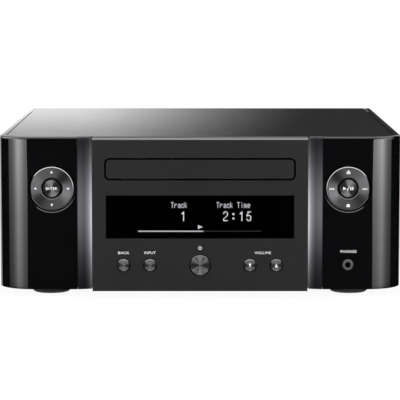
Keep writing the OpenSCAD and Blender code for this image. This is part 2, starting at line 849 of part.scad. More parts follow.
module nav_ring() color("#5a5a60") translate([-pad_x, 0, pad_z]) pad_ring();
module nav_gimbal() color("#8a8a8a") translate([-pad_x, 0, pad_z]) pad_gimbal();
module enter_key() color("#4c4c52") translate([-pad_x, 0, pad_z]) pad_key();
module transport_ring() color("#5a5a60") translate([pad_x, 0, pad_z]) pad_ring();
module transport_gimbal() color("#8a8a8a") translate([pad_x, 0, pad_z]) pad_gimbal();
module play_key() color("#4c4c52") translate([pad_x, 0, pad_z]) pad_key();

// Keys of the centre panel: a spun cap, a lip behind the panel and a stem in the frame
module panel_key(x, d) {
  r = d / 2;
  edge = 0.5;
  face = front_y - key_stand;
  lip = front_y + panel_t + 0.3;
  color("#55555a") turned(x, 0, key_z) polygon([[0, face], [r - edge, face], [r, face + edge], [r, lip],
    [r + key_lip, lip], [r + key_lip, lip + lip_t], [stem_d / 2, lip + lip_t], [stem_d / 2, stem_end_y],
    [0, stem_end_y]]);
}
module back_key() panel_key(-key_out, key_d);
module input_key() panel_key(-key_in, key_d);
module power_key() panel_key(0, power_d);
module volume_down_key() panel_key(key_in, key_d);
module volume_up_key() panel_key(key_out, key_d);

module headphone_socket() {
  r = jack_d / 2;
  half = 5;
  depth = 14;
  stand = 0.5;
  edge = 0.4;
  color("#606064") difference() {
    union() {
      turned(pad_x, wing_y, jack_z) polygon([[0, -stand], [r - edge, -stand], [r, edge - stand],
        [r, wall + 1], [0, wall + 1]]);
      block(pad_x - half, pad_x + half, wing_y + wall, wing_y + wall + depth, jack_z - half, jack_z + half);
    }
    rod(pad_x, wing_y - 1, jack_z, jack_bore / 2, depth + 1);
  }
}

// Disc tray
module tray_door() {
  color("#303034") upright(front_y, panel_t) translate([0, tray_z]) rounded(door_w, door_h, door_r);
}

module disc_tray() {
  half = tray_w / 2;
  tongue_front = 6;
  rack_first = -2;
  rack_back = 3.5;
  sink = 0.5;
  color("#1c1c1f") difference() {
    union() {
      block(-half, half, tray_y, tray_end_y, tray_bot, tray_top);
      block(-half - tongue, half + tongue, loader_y0 + tongue_front, tray_end_y, tongue_z, tongue_z + tongue_t);
      translate([-rack_x, gear_y, rack_bot]) linear_extrude(tray_bot - rack_bot + sink)
        rack_shape(rack_module, rack_first, rack_count, rack_back);
    }
    post(0, disc_y, tray_z, tray_top + 1, disc_d / 2 + disc_room);
    post(0, disc_y, tray_z - small_recess_h, tray_top + 1, small_disc_d / 2 + disc_room);
    post(0, disc_y, tray_bot - 1, tray_top + 1, slot_w / 2);
    block(-slot_w / 2, slot_w / 2, disc_y, tray_end_y + 1, tray_bot - 1, tray_top + 1);
  }
}

// Loader
module loader_chassis() {
  groove_x = loader_in + tongue + fit;
  groove_stop = 5;
  ear_y = 4;
  ear_top = hinge_z + 4;
  end_wall = 3;
  sink = 0.5;
  well_front = 3;
  well_back = 6;
  motor_hole_r = 4;
  screw_hole_r = 1.7;
  color("#3a3a3e") difference() {
    union() {
      block(-loader_x, loader_x, loader_y0, loader_y1, deck_bot, deck_top);
      for (s = [-1, 1]) block(s > 0 ? loader_in : -loader_x, s > 0 ? loader_x : -loader_in,
        loader_y0, loader_y1, deck_bot, loader_top);
      block(-loader_x, loader_x, loader_y1 - end_wall, loader_y1, deck_bot, tray_bot - 1);
      post(pinion_x, gear_y, deck_top - sink, tray_bot - 0.6, axle_r);
      post(small_x, gear_y, deck_top - sink, wheel_top, axle_r);
      for (x = [trav_x0 - ear_gap - ear_t, trav_x1 + ear_gap])
        block(x, x + ear_t, hinge_y - ear_y, hinge_y + ear_y, deck_bot, ear_top);
    }
    for (s = [-1, 1]) block(s > 0 ? loader_in - 1 : -groove_x, s > 0 ? groove_x : -loader_in + 1,
      loader_y0 - 1, loader_y1 - groove_stop, tongue_z - tongue_room, tongue_z + tongue_t + tongue_room);
    block(trav_x0 - ear_gap, trav_x1 + ear_gap, trav_y0 - well_front, trav_y1 + well_back,
      deck_bot - 1, deck_top + 1);
    post(motor_x, gear_y, deck_bot - 1, deck_top + 1, motor_hole_r);
    translate([0, hinge_y, hinge_z]) rotate([0, 90, 0])
      cylinder(r = hinge_r + run, h = 2 * (loader_in - ear_t), center = true);
    for (s = [-1, 1], y = loader_post_ys)
      post(s * loader_post_x, y, deck_bot - 1, deck_top + 1, screw_hole_r);
  }
}

module loader_posts()
  color("#9a9a9e") for (s = [-1, 1], y = loader_post_ys) difference() {
    post(s * loader_post_x, y, pan_top, deck_bot, post_d / 2);
    post(s * loader_post_x, y, deck_bot - 12, deck_bot + 1, 1.3);
  }

module loading_motor()
  color("#b0b0b4") difference() {
    union() {
      post(motor_x, gear_y, deck_bot - motor_h, deck_bot, motor_d / 2);
      post(motor_x, gear_y, deck_bot - 1, deck_top, 3.2);
    }
    post(motor_x, gear_y, deck_bot - motor_h + 3, deck_top + 1, spindle_r + run);
  }

module pulley_profile(r, h) {
  in = belt_t / 2 + 0.1;
  out = belt_t / 2 + 0.2;
  polygon([[0, 0], [r, 0], [r, h / 2 - out], [r - belt_groove, h / 2 - in],
    [r - belt_groove, h / 2 + in], [r, h / 2 + out], [r, h], [0, h]]);
}

module motor_pulley()
  color("#c8b060") translate([motor_x, gear_y, 0]) {
    translate([0, 0, pulley_bot]) rotate_extrude() pulley_profile(motor_pulley_r, pulley_h);
    post(0, 0, deck_bot - motor_h + 4, pulley_bot + 0.5, spindle_r);
  }

module drive_belt() {
  ease = 0.1;
  r0 = pulley_r - belt_groove + ease;
  r1 = motor_pulley_r - belt_groove + ease;
  color("#18181a") translate([0, gear_y, (pulley_top + pulley_bot) / 2 - belt_t / 2])
    linear_extrude(belt_t) difference() {
      belt_outline(small_x, r0 + belt_t, motor_x, r1 + belt_t);
      belt_outline(small_x, r0, motor_x, r1);
    }
}

module pulley_gear()
  color("#e8e4d8") translate([small_x, gear_y, 0]) difference() {
    union() {
      translate([0, 0, pulley_bot]) rotate_extrude() pulley_profile(pulley_r, pulley_h);
      translate([0, 0, pulley_top - 0.5]) linear_extrude(wheel_top - pulley_top + 0.5)
        rotate(180 / small_teeth) gear_shape(gear_module, small_teeth);
    }
    post(0, 0, pulley_bot - 1, wheel_top + 1, axle_r + run);
  }

module drive_gear()
  color("#e8e4d8") translate([pinion_x, gear_y, 0]) difference() {
    union() {
      translate([0, 0, wheel_bot]) linear_extrude(wheel_h) gear_shape(gear_module, wheel_teeth);
      translate([0, 0, wheel_top - 0.5]) linear_extrude(tray_bot - 0.4 - wheel_top + 0.5)
        gear_shape(rack_module, pinion_teeth);
      post(0, 0, deck_top + 0.3, wheel_bot + 0.5, 4);
    }
    post(0, 0, deck_top - 1, tray_bot + 1, axle_r + run);
  }

module clamp_bridge() {
  lip = 3;
  lip_in = 6;
  y0 = disc_y - bridge_w / 2;
  y1 = disc_y + bridge_w / 2;
  top = loader_top + bridge_t;
  color("#a8a8ac") difference() {
    union() {
      block(-loader_x, loader_x, y0, y1, loader_top, top);
      for (y = [y0, y1 - bridge_t])
        block(-loader_x + lip_in, loader_x - lip_in, y, y + bridge_t, loader_top, top + lip);
    }
    post(0, disc_y, loader_top - 1, top + 1, clamp_d / 2 + 1);
  }
}

module disc_clamp() {
  bot = clamp_bot;
  top = loader_top + bridge_t + 0.3;
  r = clamp_d / 2;
  dish_r = 8.2;
  dish_h = 1.6;
  brim = 4;
  brim_t = 1.5;
  color("#2c2c30") translate([0, disc_y, 0]) rotate_extrude() polygon([[0, bot + dish_h],
    [dish_r, bot + dish_h], [dish_r, bot], [r, bot], [r, top], [r + brim, top],
    [r + brim, top + brim_t], [0, top + brim_t]]);
}

// Traverse: everything on it is drawn level, then dropped about the rear hinge
module dropped()
  translate([0, hinge_y, hinge_z]) rotate([drop_angle, 0, 0])
    translate([0, -hinge_y, -hinge_z]) children();

module traverse_frame() {
  rib = 3;
  rib_h = 2;
  block_half = sled_rack_x - sled_rack_back - 2 * fit - rod_x;
  block_len = 4;
  block_top = rod_z + 2.2;
  rod_end = 1;
  hub_hole_r = 4;
  pinion_hole_r = 3;
  window_half = 14;
  pin_len = trav_x1 - trav_x0 + 2 * (ear_gap + ear_t + 0.5);
  color("#77777c") dropped() difference() {
    union() {
      block(trav_x0, trav_x1, trav_y0, trav_y1, plate_bot, plate_top);
      for (x = [trav_x0, trav_x1 - rib])
        block(x, x + rib, trav_y0, trav_y1, plate_bot, plate_top + rib_h);
      for (s = [-1, 1], y = [rod_y0, rod_y1 - block_len])
        block(s * rod_x - block_half, s * rod_x + block_half, y, y + block_len, plate_bot, block_top);
      translate([(trav_x0 + trav_x1) / 2, hinge_y, hinge_z]) rotate([0, 90, 0])
        cylinder(r = hinge_r, h = pin_len, center = true);
    }
    for (s = [-1, 1])
      rod(s * rod_x, rod_y0 + rod_end, rod_z, rod_r + run, rod_y1 - rod_y0 - 2 * rod_end);
    post(0, disc_y, plate_bot - 1, plate_top + 1, hub_hole_r);
    post(sled_pinion_x, sled_pinion_y, plate_bot - 1, plate_top + 1, pinion_hole_r);
    block(-window_half, window_half, disc_y + 18, rod_y1 - 2 * block_len, plate_bot - 1, plate_top + 1);
  }
}

module spindle_motor() {
  collar_r = 3.6;
  end_t = 2;
  color("#b0b0b4") dropped() difference() {
    union() {
      post(0, disc_y, plate_bot - spindle_motor_h, plate_bot, spindle_motor_r);
      post(0, disc_y, plate_bot - 1, plate_top, collar_r);
    }
    post(0, disc_y, plate_bot - spindle_motor_h + end_t, plate_top + 1, spindle_r + run);
  }
}

module spindle_hub() {
  r = hub_d / 2;
  neck_r = 4;
  neck_bot = plate_top + 0.6;
  table_bot = table_top - 3.4;
  boss = 7.4;
  boss_h = 1;
  lead = 1.4;
  lead_h = 0.8;
  color("#3c3c40") dropped() {
    translate([0, disc_y, 0]) rotate_extrude() polygon([[0, neck_bot], [neck_r, neck_bot],
      [neck_r, table_bot], [r - 1, table_bot], [r, table_bot + 1], [r, table_top], [boss, table_top],
      [boss, table_top + boss_h], [boss - lead, table_top + boss_h + lead_h],
      [0, table_top + boss_h + lead_h]]);
    post(0, disc_y, plate_bot - spindle_motor_h + 3, plate_top + 1, spindle_r);
  }
}

module guide_rods() {
  end = 1 + fit;
  color("#d0d0d4") dropped() for (s = [-1, 1])
    rod(s * rod_x, rod_y0 + end, rod_z, rod_r, rod_y1 - rod_y0 - 2 * end);
}

module pickup_sled() {
  bear = 2.2;
  bear_half = 2.8;
  well_h = 3;
  y1 = sled_front + sled_len;
  first = -floor(sled_travel / sled_pitch) - 2;
  color("#2e2e32") dropped() difference() {
    union() {
      block(-sled_x, sled_x, sled_front, y1, rod_z - bear, sled_top);
      for (s = [-1, 1])
        block(s * rod_x - bear_half, s * rod_x + bear_half, sled_front, y1, rod_z - bear, rod_z + bear);
      translate([sled_rack_x, sled_pinion_y, rod_z - bear]) linear_extrude(2 * bear)
        rack_shape(sled_module, first, sled_rack_count, sled_rack_back);
    }
    for (s = [-1, 1]) rod(s * rod_x, sled_front - 1, rod_z, rod_r + run, sled_len + 2);
    post(0, sled_front + lens_back, sled_top - well_h, sled_top + 1, lens_r + 1);
  }
}

module objective_lens() {
  foot = lens_r + 0.6;
  foot_bot = sled_top - 3;
  glass_r = lens_r - 0.8;
  color("#8fb0d8") dropped() translate([0, sled_front + lens_back, 0]) rotate_extrude()
    polygon([[0, foot_bot], [foot, foot_bot], [foot, sled_top], [lens_r, lens_top - 1],
      [glass_r, lens_top - 0.6], [glass_r / 2, lens_top - 0.1], [0, lens_top]]);
}

module sled_motor() {
  motor_len = 9;
  collar_r = 2.6;
  end_t = 2;
  color("#b0b0b4") dropped() difference() {
    union() {
      post(sled_pinion_x, sled_pinion_y, plate_bot - motor_len, plate_bot, sled_motor_r);
      post(sled_pinion_x, sled_pinion_y, plate_bot - 1, plate_top, collar_r);
    }
    post(sled_pinion_x, sled_pinion_y, plate_bot - motor_len + end_t, plate_top + 1, spindle_r + run);
  }
}

module sled_pinion() {
  bot = plate_top + 0.4;
  top = rod_z + 2.2;
  shaft = 6;
  color("#e8e4d8") dropped() translate([sled_pinion_x, sled_pinion_y, 0]) {
    translate([0, 0, bot]) linear_extrude(top - bot) gear_shape(sled_module, sled_teeth);
    post(0, 0, plate_bot - shaft, plate_top + 1, spindle_r);
  }
}

// Boards
module supply_board() {
  cap_r = 9;
  cap_h = 32;
  cap_pitch = 24;
  cap_x = -wing_board_x0 - 14;
  cap_y = main_y1 - 60;
  filter_in = 10;
  filter_y = supply_y0 + 14;
  filter_len = 18;
  filter_h = 16;
  color("#3f6b3f") {
    block(-wing_board_x1, -wing_board_x0, supply_y0, main_y1, board_z, board_top);
    for (i = [0, 1]) post(cap_x, cap_y + i * cap_pitch, board_top - 0.5, board_top + cap_h, cap_r);
    block(-wing_board_x1 + filter_in, -wing_board_x0 - filter_in, filter_y, filter_y + filter_len,
      board_top - 0.5, board_top + filter_h);
  }
}

module transformer() {
  edge = 7;
  back = 46;
  x0 = edge - wing_board_x1;
  y0 = supply_y0 + back;
  core_w = 42;
  core_d = 22;
  core_h = 34;
  coil_w = 30;
  coil_d = 38;
  coil_h = 22;
  coil_x = x0 + (core_w - coil_w) / 2;
  core_y = y0 + (coil_d - core_d) / 2;
  coil_z = board_top + (core_h - coil_h) / 2;
  color("#c9a94a") {
    block(x0, x0 + core_w, core_y, core_y + core_d, board_top, board_top + core_h);
    block(coil_x, coil_x + coil_w, y0, y0 + coil_d, coil_z, coil_z + coil_h);
  }
}

module main_board() {
  chip_w = 28;
  chip_h = 3;
  chip_x = -20;
  chip_y = main_y0 + 14;
  edge = 3;
  color("#3f6b3f") {
    block(-loader_x + edge, wing_board_x1, main_y0, main_y1, board_z, board_top);
    block(wing_board_x0, wing_board_x1, supply_y0, main_y0 + 1, board_z, board_top);
    block(chip_x, chip_x + chip_w, chip_y, chip_y + chip_w, board_top - 0.5, board_top + chip_h);
  }
}

module heat_sink() {
  fins = 9;
  fin_t = 1.4;
  fin_h = 29;
  sole = 4;
  sink_len = 84;
  back = 24;
  sink_y = supply_y0 + back;
  side = 9;
  x0 = wing_board_x0 + side;
  x1 = wing_board_x1 - side;
  step = (x1 - x0 - fin_t) / (fins - 1);
  color("#7d7d82") upright(sink_y, sink_len) {
    translate([x0, board_top]) square([x1 - x0, sole]);
    for (i = [0 : fins - 1]) translate([x0 + i * step, board_top]) square([fin_t, sole + fin_h]);
  }
}

// Rear sockets
function post_places() = [for (sx = [-1, 1], sz = [-1, 1])
  [post_x + sx * post_pitch / 2, post_z + sz * post_drop / 2]];
function phono_places() = [for (i = [0 : 1], j = [0 : 1])
  [phono_x + i * jack_pitch, phono_z + j * jack_pitch]];

module terminal_plate() {
  land_x = 10;
  land_z = 9;
  corner = 3;
  block_d = 8;
  block_x = post_pitch / 2 + 7;
  block_top = post_z + post_drop / 2 + 6;
  color("#19191b") difference() {
    union() {
      upright(rear_y, terminal_plate_t) translate([post_x, post_z])
        rounded(post_pitch + 2 * land_x, post_drop + 2 * land_z, corner);
      block(post_x - block_x, post_x + block_x, block_back_y - block_d, block_back_y, board_top, block_top);
      for (p = post_places()) rod(p[0], block_back_y - 1, p[1], stud_d / 2 + collar_t, sheet + 2);
    }
    for (p = post_places())
      rod(p[0], block_back_y - block_d - 1, p[1], stud_d / 2 + run, block_d + sheet + terminal_plate_t + 2);
  }
}

module terminal_studs() {
  tail = 10;
  inset = 0.6;
  bore_len = 14;
  color("#d6b24c") for (p = post_places()) difference() {
    rod(p[0], block_back_y - tail, p[1], stud_d / 2, tail + sheet + post_reach - inset);
    rod(p[0], rear_y + post_reach - bore_len, p[1], post_bore / 2, bore_len + 1);
  }
}

module terminal_cap(i) {
  p = post_places()[i];
  gap = 0.3;
  len = post_reach - terminal_plate_t - gap;
  bore = stud_d / 2 + run;
  r = cap_d / 2;
  edge = 0.5;
  nose = 0.8;
  collar = 2;
  flutes = 14;
  flute_r = 0.9;
  difference() {
    turned(p[0], rear_y + terminal_plate_t + gap, p[1]) polygon([[bore, 0], [r - edge, 0], [r, edge],
      [r, len - nose], [r - nose, len], [bore, len]]);
    for (k = [0 : flutes - 1]) translate([p[0], 0, p[1]]) rotate([0, 360 * k / flutes, 0])
      rod(r + flute_r / 2, rear_y + terminal_plate_t + gap + collar, 0, flute_r, len);
  }
}
module terminal_cap_1() color("#1c1c1e") terminal_cap(0);
module terminal_cap_2() color("firebrick") terminal_cap(1);
module terminal_cap_3() color("#1c1c1e") terminal_cap(2);
module terminal_cap_4() color("firebrick") terminal_cap(3);

module audio_sockets() {
  half = 6;
  block_d = 14;
  bore_back = 6;
  color("#222224") for (i = [0 : 1]) difference() {
    union() {
      x = phono_x + i * jack_pitch;
      block(x - half, x + half, block_back_y - block_d, block_back_y, board_top, phono_z + jack_pitch + half);
      for (j = [0 : 1])
        rod(x, block_back_y - 1, phono_z + j * jack_pitch, phono_d / 2, phono_reach + 1 + sheet);
    }
    for (p = phono_places())
      rod(p[0], block_back_y - bore_back, p[1], phono_bore / 2, bore_back + sheet + phono_reach + 1);
  }
}

// A square-mouthed socket that stands on the board behind the rear panel
module data_socket(x, w, h, mouth_w, mouth_h, mouth_d) {
  y0 = block_back_y - socket_d;
  y1 = rear_y + socket_stand;
  leg_d = 8;
  difference() {
    union() {
      block(x - w / 2, x + w / 2, y0, y1, socket_z - h / 2, socket_z + h / 2);
      block(x - w / 2 + 1, x + w / 2 - 1, y0, y0 + leg_d, board_top, socket_z);
    }
    block(x - mouth_w / 2, x + mouth_w / 2, y1 - mouth_d, y1 + 1,
      socket_z - mouth_h / 2, socket_z + mouth_h / 2);
  }
}

module data_sockets() {
  plug_d = 11;
  lan_mouth_w = 11.8;
  lan_mouth_h = 8.2;
  shutter_d = 1;
  tongue_w = 11.2;
  tongue_bot = socket_z - 0.1;
  tongue_top = socket_z + 1.5;
  y1 = rear_y + socket_stand;
  color("#2a2a2c") {
    data_socket(lan_x, lan_w, lan_h, lan_mouth_w, lan_mouth_h, plug_d);
    data_socket(usb_x, usb_w, usb_h, usb_w - 2 * socket_wall, usb_h - 2.4 * socket_wall, plug_d);
    data_socket(optical_x, optical_w, optical_w, optical_w - 2, optical_w - 2, shutter_d);
    block(usb_x - tongue_w / 2, usb_x + tongue_w / 2, y1 - plug_d - 1, y1 - 1, tongue_bot, tongue_top);
  }
}

module aerial_socket() {
  flange = 16;
  flange_d = 3;
  pin_r = 1;
  web = 2;
  color("#c4c4c8") difference() {
    union() {
      rod(aerial_x, block_back_y - 1, aerial_z, aerial_d / 2, sheet + 1 + aerial_reach);
      upright(block_back_y - flange_d, flange_d) translate([aerial_x, aerial_z])
        square(flange, center = true);
    }
    rod(aerial_x, rear_y + web, aerial_z, pin_r, aerial_reach);
  }
}

module mains_inlet() {
  out = 2;
  depth = 16;
  plate_w = 40;
  plate_h = 20;
  mouth_d = 12;
  mouth_r = 4.2;
  mouth_pitch = 8.6;
  waist = 7;
  pin_r = 1.2;
  pin_len = 11;
  color("#161618") {
    difference() {
      union() {
        upright(rear_y, out) translate([inlet_x, inlet_z]) rounded(plate_w, plate_h, 3);
        upright(rear_y + out - depth, depth) translate([inlet_x, inlet_z]) rounded(inlet_w, inlet_h, 2);
      }
      upright(rear_y + out - mouth_d, mouth_d + 1) translate([inlet_x, inlet_z]) {
        for (s = [-1, 1]) translate([s * mouth_pitch / 2, 0]) circle(mouth_r);
        square([mouth_pitch, waist], center = true);
      }
    }
    for (s = [-1, 1])
      rod(inlet_x + s * mouth_pitch / 2, rear_y + out - mouth_d - 1, inlet_z, pin_r, pin_len);
  }
}

module case_screws() {
  r = screw_head_r;
  head_h = 1.8;
  edge = 0.8;
  shank = 6;
  color("#8c8c90") for (p = rear_screw_places()) {
    turned(p[0], rear_y, p[1])
      polygon([[0, 0], [r, 0], [r, head_h - edge], [r - edge, head_h], [0, head_h]]);
    rod(p[0], rear_y - shank, p[1], screw_r, shank + 1);
  }
}

base_pan();
feet();
rear_panel();
side_panel_left();
side_panel_right();
top_plate();
wing_left();
wing_right();
centre_panel();
front_frame();
light_guides();
display_window();
display_module();
key_boards();
nav_ring();
nav_gimbal();
enter_key();
transport_ring();
transport_gimbal();
play_key();
back_key();
input_key();
power_key();
volume_down_key();
volume_up_key();
headphone_socket();
tray_door();
disc_tray();
loader_chassis();
loader_posts();
loading_motor();
motor_pulley();
drive_belt();
pulley_gear();
drive_gear();
clamp_bridge();
disc_clamp();
traverse_frame();
spindle_motor();
spindle_hub();
guide_rods();
pickup_sled();
objective_lens();
sled_motor();
sled_pinion();
supply_board();
transformer();
heat_sink();
main_board();
terminal_plate();
terminal_studs();
terminal_cap_1();
terminal_cap_2();
terminal_cap_3();
terminal_cap_4();
audio_sockets();
data_sockets();
aerial_socket();
mains_inlet();
case_screws();
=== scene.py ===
# Frame: the receiver as it was packed, every solid in metres and in its place at rest.
# Whatever the blank scene holds is cleared first.
import json
import math

import bpy
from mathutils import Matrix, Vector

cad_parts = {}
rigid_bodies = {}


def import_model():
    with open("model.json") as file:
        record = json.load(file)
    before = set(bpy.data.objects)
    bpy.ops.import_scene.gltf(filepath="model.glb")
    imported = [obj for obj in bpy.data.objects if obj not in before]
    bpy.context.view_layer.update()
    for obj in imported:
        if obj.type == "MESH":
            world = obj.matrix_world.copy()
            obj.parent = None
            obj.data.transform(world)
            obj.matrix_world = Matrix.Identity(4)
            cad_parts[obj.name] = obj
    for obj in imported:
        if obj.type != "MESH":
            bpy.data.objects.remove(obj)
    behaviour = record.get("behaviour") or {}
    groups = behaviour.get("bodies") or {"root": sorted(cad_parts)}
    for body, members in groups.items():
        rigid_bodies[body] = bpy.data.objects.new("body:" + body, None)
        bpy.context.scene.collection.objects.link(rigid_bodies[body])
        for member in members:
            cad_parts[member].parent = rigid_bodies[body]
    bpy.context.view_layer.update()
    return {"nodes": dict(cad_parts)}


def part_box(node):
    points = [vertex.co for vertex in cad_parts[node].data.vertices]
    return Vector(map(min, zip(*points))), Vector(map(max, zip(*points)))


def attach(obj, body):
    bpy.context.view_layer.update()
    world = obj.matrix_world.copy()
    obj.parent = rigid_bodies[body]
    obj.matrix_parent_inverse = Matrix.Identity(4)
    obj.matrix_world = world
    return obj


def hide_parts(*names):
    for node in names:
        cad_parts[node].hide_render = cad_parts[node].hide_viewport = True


for leftover in list(bpy.data.objects):
    bpy.data.objects.remove(leftover)
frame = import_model()
scene = bpy.context.scene
scene.view_settings.view_transform = "Standard"

# Camera: a long lens straight in front of the receiver and a little above it,
# tipped down to the middle of the front
mm = 0.001
camera_height = 231.2 * mm
camera_back = 1572.3 * mm
camera_tip = 6.54
camera_lens = bpy.data.cameras.new("camera")
camera_lens.sensor_width = 36.0
camera_lens.lens = 188.3
camera = bpy.data.objects.new("camera", camera_lens)
camera.location = (0.0, -camera_back, camera_height)
camera.rotation_euler = (math.radians(90 - camera_tip), 0.0, 0.0)
scene.collection.objects.link(camera)
scene.camera = camera


# Studio: a white room with a pale floor, lit softly from above and from both sides.
# Metal and gloss see the white room, two strip boxes beside the front corners,
# a box overhead and dark flags elsewhere, as in a studio picture of a glossy product.
def linear(code):
    """Linear colour of an sRGB hex code"""
    channels = [int(code[i:i + 2], 16) / 255 for i in (1, 3, 5)]
    return tuple(c / 12.92 if c <= 0.04045 else ((c + 0.055) / 1.055) ** 2.4 for c in channels) + (1.0,)


def add(tree, kind, inputs=(), stops=(), **settings):
    """Add a node with its settings and links; a ramp also takes stops, each a place and its level"""
    node = tree.nodes.new(kind)
    for name, value in settings.items():
        setattr(node, name, value)
    for name, value in dict(inputs).items():
        if isinstance(value, bpy.types.Node):
            value = value.outputs[0]
        if isinstance(value, bpy.types.NodeSocket):
            tree.links.new(value, node.inputs[name])
        else:
            node.inputs[name].default_value = value
    if stops:
        points = node.color_ramp.elements
        while len(points) < len(stops):
            points.new(1.0)
        for point, (place, level) in zip(points, stops):
            point.position = place
            point.color = (level, level, level, 1.0)
    return node


def seen_rays(tree):
    """1 for camera, glossy and transmission rays"""
    path = add(tree, "ShaderNodeLightPath").outputs
    seen = add(tree, "ShaderNodeMath", {0: path["Is Camera Ray"], 1: path["Is Glossy Ray"]},
               operation="MAXIMUM")
    return add(tree, "ShaderNodeMath", {0: seen, 1: path["Is Transmission Ray"]}, operation="MAXIMUM")


white = linear("#ffffff")
room_light = 0.42
world = bpy.data.worlds.new("white_room")
world.use_nodes = True
scene.world = world
tree = world.node_tree
tree.nodes.clear()
dim = add(tree, "ShaderNodeBackground", {"Color": white, "Strength": room_light})
bright = add(tree, "ShaderNodeBackground", {"Color": white, "Strength": 1.0})
room = add(tree, "ShaderNodeMixShader", {0: seen_rays(tree), 1: dim, 2: bright})
add(tree, "ShaderNodeOutputWorld", {"Surface": room})


def stage_mesh(name, vertices, faces, material):
    """A piece of the studio, which isn't part of the object"""
    mesh = bpy.data.meshes.new(name)
    mesh.from_pydata(vertices, [], faces)
    mesh.materials.append(material)
    piece = bpy.data.objects.new(name, mesh)
    scene.collection.objects.link(piece)
    return piece


def blank_material(name):
    """A material with an empty tree"""
    material = bpy.data.materials.new(name)
    material.use_nodes = True
    material.node_tree.nodes.clear()
    return material, material.node_tree


# The paper keeps a faint shadow near the receiver and runs out to plain white
half_floor = 6.0
shadow_near = 0.2
shadow_far = 0.6
white_near = 0.94
floor_paper, tree = blank_material("floor_paper")
matt = add(tree, "ShaderNodeBsdfDiffuse", {"Color": linear("#f4f4f4")})
lit = add(tree, "ShaderNodeEmission", {"Color": white, "Strength": 1.0})
place = add(tree, "ShaderNodeTexCoord").outputs["Object"]
away = add(tree, "ShaderNodeVectorMath", {0: place}, operation="LENGTH").outputs["Value"]
whiter = add(tree, "ShaderNodeMapRange", {"Value": away, "From Min": shadow_near, "From Max": shadow_far,
                                          "To Min": white_near, "To Max": 1.0})
share = add(tree, "ShaderNodeMath", {0: seen_rays(tree), 1: whiter}, operation="MULTIPLY")
paper = add(tree, "ShaderNodeMixShader", {0: share, 1: matt, 2: lit})
add(tree, "ShaderNodeOutputMaterial", {"Surface": paper})
floor = stage_mesh("floor", [(-half_floor, -half_floor, 0.0), (half_floor, -half_floor, 0.0),
                             (half_floor, half_floor, 0.0), (-half_floor, half_floor, 0.0)],
                   [(0, 1, 2, 3)], floor_paper)
floor.visible_glossy = False
floor.visible_transmission = False


def reflected_only(card):
    """A card that shows in reflections and lights nothing else"""
    card.visible_camera = False
    card.visible_diffuse = False
    card.visible_shadow = False
    return card


def curved_card(name, middle, radius, start, end, low, high, material, steps=32):
    """An upright card on an arc; angles in degrees from straight in front, right is positive"""
    vertices = []
    for i in range(steps + 1):
        turn = math.radians(start + (end - start) * i / steps)
        x = middle[0] + radius * math.sin(turn)
        y = middle[1] - radius * math.cos(turn)
        vertices += [(x, y, low), (x, y, high)]
    faces = [(2 * i, 2 * i + 2, 2 * i + 3, 2 * i + 1) for i in range(steps)]
    card = stage_mesh(name, vertices, faces, material)
    across = card.data.attributes.new("across", "FLOAT", "POINT")
    for i, item in enumerate(across.data):
        item.value = (i // 2) / steps
    return reflected_only(card)


flag_r = 2.6
flag_low = -5.5
flag_high = 1.8
flag_cloth, tree = blank_material("flag_cloth")
dark = add(tree, "ShaderNodeEmission", {"Color": linear("#000000"), "Strength": 0.0})
add(tree, "ShaderNodeOutputMaterial", {"Surface": dark})
curved_card("dark_flag", (0.0, 0.0), flag_r, -135, 150, flag_low, flag_high, flag_cloth, 64)


def flagged(card, state, *pieces):
    """Let only these pieces see a card, or with EXCLUDE all but those"""
    seen = bpy.data.collections.new(card.name + "_sees")
    for piece in pieces:
        seen.objects.link(piece)
    for item in seen.collection_objects:
        item.light_linking.link_state = state
    card.light_linking.receiver_collection = seen


strip_strength = 10.4
glow_low = -0.06
glow_high = 0.14


def strip_glow(name, *inner):
    """Glow of a strip box: brightest in the middle of its width, and dimmer towards the floor"""
    material, tree = blank_material(name)
    across = add(tree, "ShaderNodeAttribute", attribute_name="across").outputs["Fac"]
    place = add(tree, "ShaderNodeTexCoord").outputs["Object"]
    height = add(tree, "ShaderNodeSeparateXYZ", {0: place}).outputs["Z"]
    width = add(tree, "ShaderNodeValToRGB", {0: across},
                (*inner, (0.33, 0.87), (0.42, 1.0), (0.5, 0.9), (0.6, 0.58), (0.72, 0.32), (0.85, 0.19),
                 (1.0, 0.15)))
    up = add(tree, "ShaderNodeMapRange", {"Value": height, "From Min": glow_low, "From Max": glow_high})
    upright = add(tree, "ShaderNodeValToRGB", {0: up},
                  ((0.0, 0.23), (0.22, 0.36), (0.46, 0.5), (0.7, 0.8), (1.0, 0.97)))
    shape = add(tree, "ShaderNodeMath", {0: width, 1: upright}, operation="MULTIPLY")
    level = add(tree, "ShaderNodeMath", {0: shape, 1: strip_strength}, operation="MULTIPLY")
    light = add(tree, "ShaderNodeEmission", {"Color": white, "Strength": level})
    add(tree, "ShaderNodeOutputMaterial", {"Surface": light})
    return material


corner_r = 25.0 * mm
wing_low, wing_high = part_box("wing_right")
corner_x = wing_high[0] - corner_r
corner_y = wing_low[1] + corner_r
strip_far = 0.25
strip_inner = 22.4
strip_outer = 86.4
strip_low = -0.03
strip_high = 0.17
keys = [frame["nodes"][name] for name in ("back_key", "input_key", "power_key", "volume_down_key",
                                          "volume_up_key")]
pad_keys = [frame["nodes"][name] for name in ("enter_key", "play_key")]
left_glow = strip_glow("left_strip_box", (0.0, 0.38), (0.08, 0.37), (0.18, 0.53))
right_glow = strip_glow("right_strip_box", (0.0, 0.52), (0.08, 0.54), (0.18, 0.64))
strips = [curved_card(name, (side * corner_x, corner_y), strip_far, side * strip_inner, side * strip_outer,
                      strip_low, strip_high, glow)
          for side, name, glow in ((-1, "left_strip", left_glow), (1, "right_strip", right_glow))]


